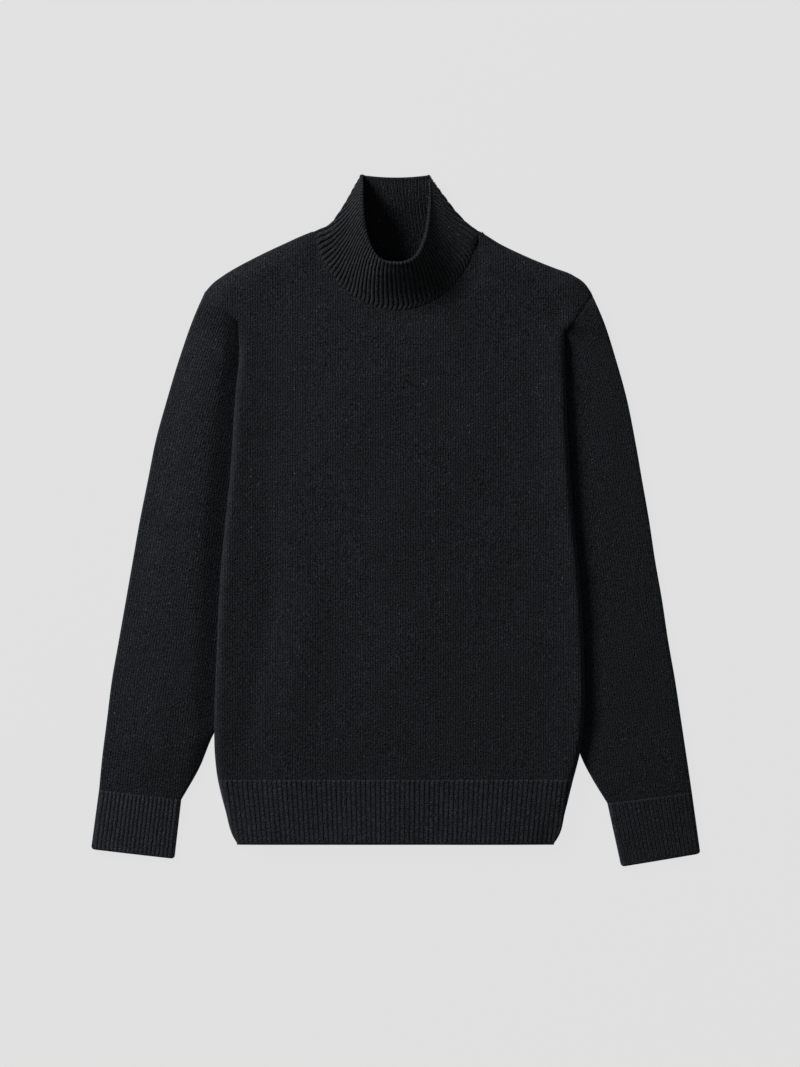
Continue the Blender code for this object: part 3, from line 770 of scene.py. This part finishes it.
# How the body rolls off: over which width at the shoulders, and at the folded sides far below the
# armhole and at its foot, and between these two over which length
SHOULDER_ROLL = 24.0
SIDE_ROLL = {"left": (7.0, 9.0), "right": (7.5, 10.5)}
SIDE_ROLL_CHANGE = 80.0
ROLL_START = {"left": 2.0, "right": 42.0}    # the side's roll starts this far above the foot
ROLL_LENGTH = 45.0                  # and grows to its full depth over this length
ROLL_FOOT = {"left": 5.0, "right": 9.5}      # height of the body's edge at the armhole's foot
NECK_LOFT_SIDE, NECK_LOFT_FRONT = 3.4, 6.6   # how far the front's neck edge is lifted off the back
NECK_BLEND = 30.0                   # width over which it goes from there to the body's height
ARMHOLE_STEP = {"left": 0.05, "right": 1.3}  # at its seam a sleeve lies this much below the body
ARMHOLE_DRAW = 1.4                  # half width of the strip that the seam draws in
SEAMED, SEAMED_END = 3.0, 25.0      # the panels' edges count as further in by the armhole seams


def front_top(x, y):
    """Height of the body's upper side: a soft cushion that rolls off at all its edges."""
    lowest = contact_height(x, y) + SEAM_GAP / 2 + WALL
    left, right = side_x("left", y), side_x("right", y)
    share = np.clip((x - left) / (right - left), 0, 1)
    rise = smooth_at(BODY_ACROSS["share"], BODY_ACROSS["height"], share) - SHOULDER_HEIGHT
    body = SHOULDER_HEIGHT + rise * smooth_at(BODY_ALONG["y"], BODY_ALONG["amount"], y)
    body = body + BODY_UNEVEN * unevenness(x, y * 0.6, BODY_HUMP, 3)
    for fold in FRONT_FOLDS:
        body = body + ridge(x, y, *fold)
    from_shoulder = np.minimum(*(distance_to(line, x, y) for line in SHOULDER_LINES))
    top = lowest + np.maximum(body - lowest, 0.0) * round_over(from_shoulder, SHOULDER_ROLL)
    for side, (low, high) in SIDE_ROLL.items():
        above = y - ARMHOLE_FOOT[side][1]
        width = low + (high - low) * ease(1 + above / SIDE_ROLL_CHANGE)
        rolled = round_over(distance_to(SIDE_LINES[side], x, y), width)
        kept = ease(1 + (above - ROLL_START[side]) / ROLL_LENGTH)
        rim = np.maximum(lowest, ROLL_FOOT[side])
        top = rim + (top - rim) * (rolled + (1 - rolled) * kept)
    across = np.clip(np.abs(x - COLLAR["middle"][0]) / COLLAR["half"][0], 0, 1)
    loft = NECK_LOFT_SIDE + (NECK_LOFT_FRONT - NECK_LOFT_SIDE) * np.sqrt(1 - across**2)
    at_neck = lowest + loft
    return at_neck + (top - at_neck) * ease(distance_to(NECK_FRONT, x, y) / NECK_BLEND)


def armhole_groove(x, y):
    """Depth by which the body's cloth is drawn in at the armhole seams."""
    depth = np.zeros(np.shape(x))
    for side, step in ARMHOLE_STEP.items():
        line = np.array((SHOULDER_TIP[side], ARMHOLE_FOOT[side]))
        depth = depth + 0.6 * step * np.exp(-(distance_to(line, x, y) / ARMHOLE_DRAW) ** 2)
    return depth


def build_panels():
    """Lays the back panel over the sleeves and the front panel over the back."""
    wale, course = stitch_size()
    for which, neck in (("front", NECK_FRONT), ("back", NECK_BACK)):
        plan = panel_plan(neck)
        x, y = plan[..., 0], plan[..., 1]
        # The cloth thins out to a rounded edge, but keeps its thickness at the armhole seams
        from_edge = np.minimum(*(distance_to(line, x, y) for line in SHOULDER_LINES))
        for side, line in SIDE_LINES.items():
            seamed = SEAMED * (1 - ease((ARMHOLE_FOOT[side][1] - y) / SEAMED_END))
            from_edge = np.minimum(from_edge, distance_to(line, x, y) + seamed)
        thickness = WALL * rounded(from_edge, WALL, PANEL_EDGE)
        if which == "front":
            lower = front_top(x, y) - WALL - armhole_groove(x, y)
            upper = lower + thickness
        else:
            upper = contact_height(x, y)
            lower = upper - thickness
        uv = np.dstack((x / wale, y / course))
        lay(which + "_panel", np.dstack((x, y, lower)), np.dstack((x, y, upper)), uv)


# ---------------------------------------------------------------- hem ribs


BAND_ROWS = 22                      # rows of points between the fine ones at a band's ends
HEM_TOP = 0.1                       # the drawn hem starts this much above its seam
HEM_SHORT = 1.5                     # and ends this much lower than the solid's
HEM_RIB = 0.5                       # its ribs stand out and its grooves go in by this on the front
HEM_GROOVE = 0.9                    # depth of the grooves on the back
RIB_LEAN, RIB_LEAN_REACH = 10.3, 190.0       # the hem's ribs lean in, less so away from its sides
RIB_BUNCH = 0.12                    # ribs that run round the side fold close up to this
RIB_ROUND = 0.45                    # the lower, the flatter the crests and the narrower the grooves
RIB_END = 2.4                       # length over which the ribs grow to their full height
SEAM_LIFT, SEAM_LIFT_REACH = 0.7, 16.0       # a band is lifted below its seam, less so further down
RIM_HEIGHT, RIM_LENGTH = 0.25, 1.2  # its plain lower rim stands out by this, and is this long


def rib_angle(count):
    """How far round each of count points is from one groove (0) to the next (pi)."""
    return math.pi * ((np.arange(count) / RIB_POINTS) % 1.0)


def band_rise(wave, from_seam, to_edge, high, deep):
    """How far a rib band's surface stands out: rounded rib ends, ribs, and a plain lower rim."""
    start = ease((from_seam + 0.2) / RIB_END)
    end = ease((to_edge - RIM_LENGTH) / 1.8)
    ribs = (high * wave - deep * (1 - wave)) * start * end
    lift = SEAM_LIFT * start * np.exp(-from_seam / SEAM_LIFT_REACH)
    return ribs + lift * (0.6 + 0.4 * wave) + RIM_HEIGHT * (1 - end) - 0.1 * (1 - start)


def beyond(distance):
    """A distance from a fold; what lies beyond the fold closes up just inside it."""
    return 0.5 * (distance + np.sqrt(distance**2 + 4 * RIB_BUNCH**2))


def build_hem():
    """Lays the rib bands under the edges of the front and the back panel."""
    course = stitch_size()[1]
    start = RIB_SEAM_Y + HEM_TOP
    length = start - HEM_Y + HEM_SHORT
    y = start - fine_ends(length, BAND_ROWS, EDGE_STEPS[:-1])
    count = HEM_RIBS * RIB_POINTS + 1
    left, right = side_x("left", y)[:, None], side_x("right", y)[:, None]
    at_seam = np.linspace(left[0, 0], right[0, 0], count)[None, :]
    lean = RIB_LEAN * (
        np.exp((left[0] - at_seam) / RIB_LEAN_REACH) - np.exp((at_seam - right[0]) / RIB_LEAN_REACH)
    )
    x = at_seam + lean * ((start - y) / length)[:, None]
    x = left + beyond(x - left) * (right - left) / (right - left + RIB_BUNCH)
    x = right - beyond(right - x)
    x[:, :1], x[:, -1:] = left, right
    y = np.repeat(y[:, None], count, axis=1)
    from_seam = start - y
    to_edge = length - from_seam
    wave = np.sin(rib_angle(count)) ** RIB_ROUND
    rounding = rounded(np.minimum(np.minimum(x - left, right - x), to_edge), WALL, PANEL_EDGE)
    wales = np.repeat((np.arange(count) / RIB_POINTS)[None, :], len(y), axis=0)
    uv = np.dstack((wales, to_edge / course))
    for which in ("front", "back"):
        if which == "front":
            lower = front_top(x, y) - WALL
            rise = band_rise(wave, from_seam, to_edge, HEM_RIB, HEM_RIB) * rounding
            upper = lower + WALL * rounding + rise
        else:
            upper = contact_height(x, y)
            lower = upper - WALL * rounding + HEM_GROOVE * (1 - wave) * rounding
        lay("hem_rib_" + which, np.dstack((x, y, lower)), np.dstack((x, y, upper)), uv)


# ---------------------------------------------------------------- sleeves and cuffs


# A row for each place down a sleeve: how high it stands above two layers of cloth, at which share
# of its visible width, and the slope with which it falls from there to the body's side
SLEEVE_FORM = {
    "left": table(
        "y height crest slope",
        (-290.0, 3.6, 0.50, 0.45), (-240.0, 7.5, 0.62, 0.42), (-198.0, 9.5, 0.72, 0.42),
        (-88.0, 10.5, 0.74, 0.46), (76.0, 11.0, 0.64, 0.47), (150.0, 10.2, 0.62, 0.50),
        (186.0, 9.5, 0.55, 0.54), (240.0, 7.0, 0.30, 0.30),
    ),
    "right": table(
        "y height crest slope",
        (-290.0, 3.0, 0.60, 0.40), (-240.0, 1.6, 0.55, 0.10), (-150.0, 1.0, 0.5, 0.05),
        (76.0, 1.0, 0.5, 0.05), (120.0, 1.0, 0.5, 0.05), (160.0, 1.1, 0.5, 0.05),
        (190.0, 1.3, 0.5, 0.05), (215.0, 2.0, 0.5, 0.10), (240.0, 4.5, 0.5, 0.40),
    ),
}
SLEEVE_LAP = 0.6                    # the sleeves reach this far in under the armhole edges
SLEEVE_CELL, SLEEVE_POINTS = 2.9, 32         # distance of its sections, and points across one side
SLEEVE_ROLL = {"left": 1.0, "right": 0.5}    # the lower, the more the outer fold is rounded
SLEEVE_UNEVEN, SLEEVE_HUMP = 0.5, 90.0       # height and size of its small random hollows and humps
FREE_Y, FREE_LENGTH = -225.0, 30.0  # from here down it comes free of the body's side
# The valley by the body starts this far above the armhole's foot, and grows deep over a length
VALLEY_START = {"left": (34.0, 50.0), "right": (12.0, 32.0)}
# A sleeve goes from the body's height to its own over a length by the foot and one by the tip
ARMHOLE_BLEND = {"left": (30.0, 60.0), "right": (34.0, 60.0)}
# Just below the armhole the inner fold lies this much further in, so no gap opens beside the body
INWARD, INWARD_GROWTH, INWARD_END, INWARD_FADE = 10.0, 14.0, 80.0, 50.0

CUFF_END = {
    "left": ((-334.2, -361.2), (-242.4, -371.8)),
    "right": ((334.2, -365.4), (247.1, -380.0)),
}
CUFF_OUT = {"left": (0.0, -1.2), "right": (1.6, -1.8)}   # how far past the solid's end it is drawn
CUFF_CORNER = 3.6                   # radius of the corners of its lower edge
CUFF_RIB = {"left": (0.2, 0.25), "right": (0.5, 0.55)}   # its ribs' height and the grooves' depth
CUFF_GROOVE = 0.6                   # depth of the grooves on its underside
CUFF_CROWN, SEAM_CROWN = 1.6, 3.0   # how high it stands at its ends, above two layers
CROWN_BLEND = 45.0                  # the sleeve goes over to the seam's height in this length
FOLD_STEPS = np.array((0.0, 0.10, 0.32, 0.65))   # points round a fold, as shares of its radius


def armhole_end(side):
    """Outer and inner ends of a sleeve's first section, at the body's armhole edge."""
    tip, foot = np.array(SHOULDER_TIP[side]), np.array(ARMHOLE_FOOT[side])
    run = (foot - tip) / np.linalg.norm(foot - tip)
    away = np.array((math.copysign(run[1], tip[0]), -abs(run[0])))
    return tip - away * SLEEVE_LAP, foot - away * SLEEVE_LAP


def sleeve_lines(side):
    """The folds of a sleeve at closely spaced sections, and how far down these are."""
    rows = SLEEVE[side]
    top_outer, top_inner = armhole_end(side)
    outer = np.vstack((top_outer, np.column_stack((rows["outer_x"], rows["outer_y"]))))
    inner = np.vstack((top_inner, np.column_stack((rows["inner_x"], rows["inner_y"]))))
    run = run_along(outer)
    down = np.linspace(0, run[-1], int(run[-1] / SLEEVE_CELL))
    outer, inner = (
        np.column_stack([smooth_at(run, line[:, k], down) for k in (0, 1)])
        for line in (outer, inner)
    )
    share = ease((down - 1.0) / INWARD_GROWTH) * ease((INWARD_END - down) / INWARD_FADE)
    inner[:, 0] -= math.copysign(INWARD, SHOULDER_TIP[side][0]) * share
    return outer, inner, down


def sleeve_top(side, x, y, across, width, run, to_cuff):
    """Height of a sleeve's upper side at points across one section."""
    foot_y = ARMHOLE_FOOT[side][1]
    covered = (y < foot_y) & (np.abs(x) < np.abs(side_x(side, y)))
    beside = np.where(covered, 0.0, distance_to(SIDE_LINES[side], x, y))
    beside = beside + (width - across - beside) * ease((FREE_Y - y) / FREE_LENGTH)
    form = SLEEVE_FORM[side]
    height, crest, slope = (
        smooth_at(form["y"], form[name], y) for name in ("height", "crest", "slope")
    )
    share = across / np.maximum(across + beside, TINY)
    top = height * np.sin(0.5 * math.pi * np.clip(share / crest, 0, 1)) ** SLEEVE_ROLL[side]
    uneven = SLEEVE_UNEVEN * unevenness(x * 1.2, y * 0.45, SLEEVE_HUMP, 21)
    top = top + uneven * np.clip(top / 3.0, 0, 1)
    at_body = front_top(x, y) - FLAT_TUBE - ARMHOLE_STEP[side]
    by_foot, by_tip = ARMHOLE_BLEND[side]
    top = at_body + (top - at_body) * ease(run / (by_tip + (by_foot - by_tip) * across / width))
    # The valley's flank and the crown blend softly, and the lower of them counts
    flank = slope * beside
    valley = 0.5 * (top + flank - np.sqrt((top - flank) ** 2 + 2.0) + 0.45)
    above, length = VALLEY_START[side]
    top = top + (valley - top) * ease((foot_y + above - y) / length)
    at_cuff = SEAM_CROWN * arch(across / width)
    top = at_cuff + (top - at_cuff) * ease(to_cuff / CROWN_BLEND)
    return FLAT_TUBE + np.where(covered, 0.0, np.maximum(top, -0.1))


def places_across(width, count):
    """Places across a flat tube, with more by its round folds, and how far it is open there."""
    radius = FLAT_TUBE / 2
    fold, opening = FOLD_STEPS * radius, np.sqrt(1 - (1 - FOLD_STEPS) ** 2)
    across = np.concatenate((fold, np.linspace(radius, width - radius, count), width - fold[::-1]))
    return across, np.concatenate((opening, np.ones(count), opening[::-1]))


def flat_ring(start, stop, across, middle, over, under):
    """Points round a flat tube at one section, along its upper side and back along its lower.

    Across are their distances from the start, and over and under are those from the height middle.
    """
    plan = start + across[:, None] * ((stop - start) / np.linalg.norm(stop - start))
    upper, lower = np.column_stack((plan, middle + over)), np.column_stack((plan, middle - under))
    return np.vstack((upper, lower[-2:0:-1]))


def build_sleeves():
    """Lays both sleeves as flat tubes, from the armhole edges to the cuffs."""
    wale, course = stitch_size()
    for side in SHOULDER_TIP:
        outer, inner, run = sleeve_lines(side)
        inside, outside, wales = [], [], []
        for start, stop, done in zip(outer, inner, run):
            width = np.linalg.norm(stop - start)
            across, opened = places_across(width, SLEEVE_POINTS)
            x, y = (start + across[:, None] * (stop - start) / width).T
            half = sleeve_top(side, x, y, across, width, done, run[-1] - done) / 2
            over = half * opened
            outside.append(flat_ring(start, stop, across, half, over, over))
            over = (half - WALL) * opened
            inner_across = WALL + across * (width - 2 * WALL) / width
            inside.append(flat_ring(start, stop, inner_across, half, over, over))
            around = np.concatenate((across, 2 * width - across[-2:0:-1], [2 * width]))
            wales.append(around / wale)
        uv = np.dstack((wales, np.repeat((run / course)[:, None], len(wales[0]), axis=1)))
        lay("sleeve_" + side, np.array(inside), np.array(outside), uv, closed=True)


def build_cuffs():
    """Lays both cuffs as flat tubes of rib, on from where the sleeves end."""
    course = stitch_size()[1]
    count = CUFF_RIBS * RIB_POINTS + 1
    by_fold = np.full(len(FOLD_STEPS), 0.5)
    wave = np.concatenate((by_fold, np.sin(rib_angle(count)) ** RIB_ROUND, by_fold))
    for side in SHOULDER_TIP:
        outer, inner, _ = sleeve_lines(side)
        seam = np.array((outer[-1], inner[-1]))
        low = np.array(CUFF_END[side]) + CUFF_OUT[side]
        length = np.linalg.norm(low.mean(axis=0) - seam.mean(axis=0))
        down = fine_ends(length, BAND_ROWS, EDGE_STEPS[:-1])
        inside, outside = [], []
        for step in down:
            start, stop = seam + (low - seam) * step / length
            width = np.linalg.norm(stop - start)
            across, opened = places_across(width, count)
            crown = CUFF_CROWN + (SEAM_CROWN - CUFF_CROWN) * (1 - ease(step / length))
            height = FLAT_TUBE + crown * arch(across / width)
            wall = WALL * rounded(length - step, WALL, TUBE_EDGE)
            rise = band_rise(wave, step, length - step, *CUFF_RIB[side])
            inset = CUFF_CORNER * (1 - rounded(length - step, CUFF_CORNER))
            shrink = inset * (1 - 2 * across / width)
            half = (height - WALL) / 2 + wall / 2
            outside.append(flat_ring(
                start, stop, across + shrink, height / 2, (half + rise) * opened,
                (half - CUFF_GROOVE * (1 - wave)) * opened,
            ))
            over = ((height - WALL) / 2 - wall / 2) * opened
            inner_across = WALL + across * (width - 2 * WALL) / width
            inside.append(flat_ring(start, stop, inner_across + shrink, height / 2, over, over))
        uv = np.dstack(np.meshgrid(np.arange(len(inside[0]) + 1) / RIB_POINTS, down / course))
        lay("cuff_" + side, np.array(inside), np.array(outside), uv, closed=True)


# ---------------------------------------------------------------- collar


# Rings at even levels from the neck seam up, and how far below the rim the last of them and the
# ones that round it off lie, in levels
COLLAR_LEVELS = 40
BY_RIM = np.array((0.12, 0.09, 0.06, 0.035, 0.015, 0.0))
COLLAR_RIB, COLLAR_GROOVE = 0.7, 0.7         # height and depth of its ribs outside
BACK_RIB, BACK_GROOVE = 0.3, 0.6    # and inside
RIM_BEAD, RIM_BEAD_AT, RIM_BEAD_WIDTH = 0.9, 1.7, 1.5    # the thicker last course below the rim
RIM_ROUND = 1.6                     # radius by which the rim is rounded
SEAM_TUCK, SEAM_DIP = 0.9, 0.5      # it goes on under the panels by this share of a ring, and down


def build_collar():
    """Stands up the collar, one tube of rib from the neck seam to the rim."""
    course = stitch_size()[1]
    count = COLLAR_RIBS * RIB_POINTS
    last = len(COLLAR["half"]) - 1
    levels = np.concatenate((np.linspace(0, last - BY_RIM[0], COLLAR_LEVELS), last - BY_RIM[1:]))
    rings = np.array([collar_ring(level, count) for level in levels])
    # The collar's lowest edge continues a little in under the panels
    under = rings[0] - (rings[1] - rings[0]) * SEAM_TUCK - (0.0, 0.0, SEAM_DIP)
    under[:, 2] = np.maximum(under[:, 2], rings[0, :, 2].min())
    rings = np.concatenate((under[None], rings))
    normals = normals_of(rings)
    lengths = np.linalg.norm(np.diff(rings, axis=0), axis=2).mean(axis=1)
    run = np.concatenate(([0.0], np.cumsum(lengths))) - lengths[0]
    from_seam, to_rim = run[:, None], (run[-1] - run)[:, None]
    crest = np.sin(rib_angle(count)) ** 0.4
    valley = np.abs(np.cos(rib_angle(count))) ** 0.6
    fade = ease((from_seam + 1.5) / 5.0) * (0.6 + 0.4 * ease(to_rim / 3.0))
    bead = RIM_BEAD * np.exp(-((to_rim - RIM_BEAD_AT) / RIM_BEAD_WIDTH) ** 2)
    half = WALL / 2 + bead * ease((rings[:, :, 2] - 6.0) / 8.0)
    wall = rounded(to_rim, RIM_ROUND, TUBE_EDGE)
    # Ribs are low where the wall stands upright, and have no crests on the floor
    tilt = normals[:, :, 2]
    facing_up, facing_down = ease((tilt + 0.3) / 0.6), ease((-tilt - 0.6) / 0.3)
    groove = COLLAR_GROOVE * (1 - crest) * np.maximum(facing_up, facing_down)
    out_rise = (COLLAR_RIB * crest * facing_up - groove) * fade
    in_rise = (BACK_RIB * valley - BACK_GROOVE * (1 - valley)) * fade
    outer = rings + normals * ((half + out_rise) * wall)[:, :, None]
    inner = rings - normals * ((half + in_rise) * wall)[:, :, None]
    outer[:, :, 2] = np.maximum(outer[:, :, 2], 0.0)
    uv = np.dstack(np.meshgrid(np.arange(count + 1) / RIB_POINTS, run / course))
    lay("collar", inner, outer, uv, closed=True)


# ---------------------------------------------------------------- stage


FLOOR_SIZE = 60.0
LIGHT_AZIMUTH, LIGHT_ELEVATION = 140.0, 26.0     # degrees from +X to +Y, and up from the floor
LIGHT_SPREAD, LIGHT_DISTANCE = 20.0, 3.2         # degrees across as the sweater sees it, metres
CAMERA_OVER = (0.0055, -0.0154)     # the point that the camera looks down on, in metres
SENSOR = 36.0


def studio_floor():
    """White acrylic of a light table: it glows a little, so shadows on it stay faint and soft."""
    material = bpy.data.materials.new("light_table_acrylic")
    material.use_nodes = True
    shader = material.node_tree.nodes["Principled BSDF"]
    for socket, value in (
        ("Base Color", (*linear("#202020"), 1.0)), ("Roughness", 0.9), ("Specular IOR Level", 0.0),
        ("Emission Color", (1.0, 1.0, 1.0, 1.0)), ("Emission Strength", 0.737),
    ):
        shader.inputs[socket].default_value = value
    return material


def key_light(strength):
    """A large round lamp that faces the sweater; strength is what reaches it, per square metre."""
    data = bpy.data.lights.new("key_light", "AREA")
    data.shape = "DISK"
    data.size = 2 * LIGHT_DISTANCE * math.tan(math.radians(LIGHT_SPREAD / 2))
    data.energy = strength * math.pi * LIGHT_DISTANCE**2
    light = bpy.data.objects.new("key_light", data)
    bpy.context.scene.collection.objects.link(light)
    level, turn = math.radians(LIGHT_ELEVATION), math.radians(LIGHT_AZIMUTH)
    light.rotation_euler = (math.pi / 2 - level, 0.0, turn + math.pi / 2)
    light.location = (
        LIGHT_DISTANCE * math.cos(level) * math.cos(turn),
        LIGHT_DISTANCE * math.cos(level) * math.sin(turn),
        LIGHT_DISTANCE * math.sin(level),
    )


def build_stage():
    """Sets up the floor, the light and a camera that looks straight down."""
    stage = bpy.context.scene.sweater_stage
    bpy.ops.object.select_all(action="DESELECT")
    bpy.ops.mesh.primitive_plane_add(size=FLOOR_SIZE, location=(0.0, 0.0, 0.0))
    floor = bpy.context.active_object
    floor.name = "floor"
    floor.data.materials.append(studio_floor())
    key_light(stage.light)
    world = bpy.data.worlds.new("studio")
    world.use_nodes = True
    world.node_tree.nodes["Background"].inputs["Color"].default_value = (1.0, 1.0, 1.0, 1.0)
    world.node_tree.nodes["Background"].inputs["Strength"].default_value = stage.fill
    bpy.context.scene.world = world
    data = bpy.data.cameras.new("camera")
    data.sensor_width = SENSOR
    data.lens = SENSOR * stage.camera_height / stage.view_length
    data.clip_start, data.clip_end = 0.1, 100.0
    camera = bpy.data.objects.new("camera", data)
    bpy.context.scene.collection.objects.link(camera)
    camera.location = (*CAMERA_OVER, stage.camera_height)
    bpy.context.scene.camera = camera
    bpy.context.scene.view_settings.view_transform = "Standard"


# ---------------------------------------------------------------- operators


class SWEATER_OT_panels(bpy.types.Operator):
    """Build the front and the back panel"""
    bl_idname = "sweater.panels"
    bl_label = "Front and back"

    def execute(self, context):
        build_panels()
        return {"FINISHED"}


class SWEATER_OT_hem(bpy.types.Operator):
    """Build the rib bands at the hem"""
    bl_idname = "sweater.hem"
    bl_label = "Hem ribs"

    def execute(self, context):
        build_hem()
        return {"FINISHED"}


class SWEATER_OT_sleeves(bpy.types.Operator):
    """Build both sleeves"""
    bl_idname = "sweater.sleeves"
    bl_label = "Sleeves"

    def execute(self, context):
        build_sleeves()
        return {"FINISHED"}


class SWEATER_OT_cuffs(bpy.types.Operator):
    """Build both rib cuffs"""
    bl_idname = "sweater.cuffs"
    bl_label = "Cuffs"

    def execute(self, context):
        build_cuffs()
        return {"FINISHED"}


class SWEATER_OT_collar(bpy.types.Operator):
    """Build the ribbed collar"""
    bl_idname = "sweater.collar"
    bl_label = "Collar"

    def execute(self, context):
        build_collar()
        return {"FINISHED"}


class SWEATER_OT_stage(bpy.types.Operator):
    """Build the floor, the light and the camera"""
    bl_idname = "sweater.stage"
    bl_label = "Stage"

    def execute(self, context):
        build_stage()
        return {"FINISHED"}


OPERATORS = (
    SWEATER_OT_panels, SWEATER_OT_hem, SWEATER_OT_sleeves, SWEATER_OT_cuffs, SWEATER_OT_collar,
    SWEATER_OT_stage,
)


class SWEATER_PT_sidebar(bpy.types.Panel):
    """Lists the sweater's sizes and its building steps"""
    bl_label = "Sweater"
    bl_idname = "SWEATER_PT_sidebar"
    bl_space_type = "VIEW_3D"
    bl_region_type = "UI"
    bl_category = "Sweater"

    def draw(self, context):
        for group in (context.scene.sweater_cloth, context.scene.sweater_stage):
            for name in group.__annotations__:
                self.layout.prop(group, name)
        for operator in OPERATORS:
            self.layout.operator(operator.bl_idname)


CLASSES = (SweaterCloth, SweaterStage, *OPERATORS, SWEATER_PT_sidebar)


def register():
    for cls in CLASSES:
        bpy.utils.register_class(cls)
    bpy.types.Scene.sweater_cloth = bpy.props.PointerProperty(type=SweaterCloth)
    bpy.types.Scene.sweater_stage = bpy.props.PointerProperty(type=SweaterStage)


def unregister():
    del bpy.types.Scene.sweater_stage
    del bpy.types.Scene.sweater_cloth
    for cls in reversed(CLASSES):
        bpy.utils.unregister_class(cls)


def main():
    register()
    for operator in OPERATORS:
        group, name = operator.bl_idname.split(".")
        getattr(getattr(bpy.ops, group), name)()


if __name__ == "__main__":
    main()
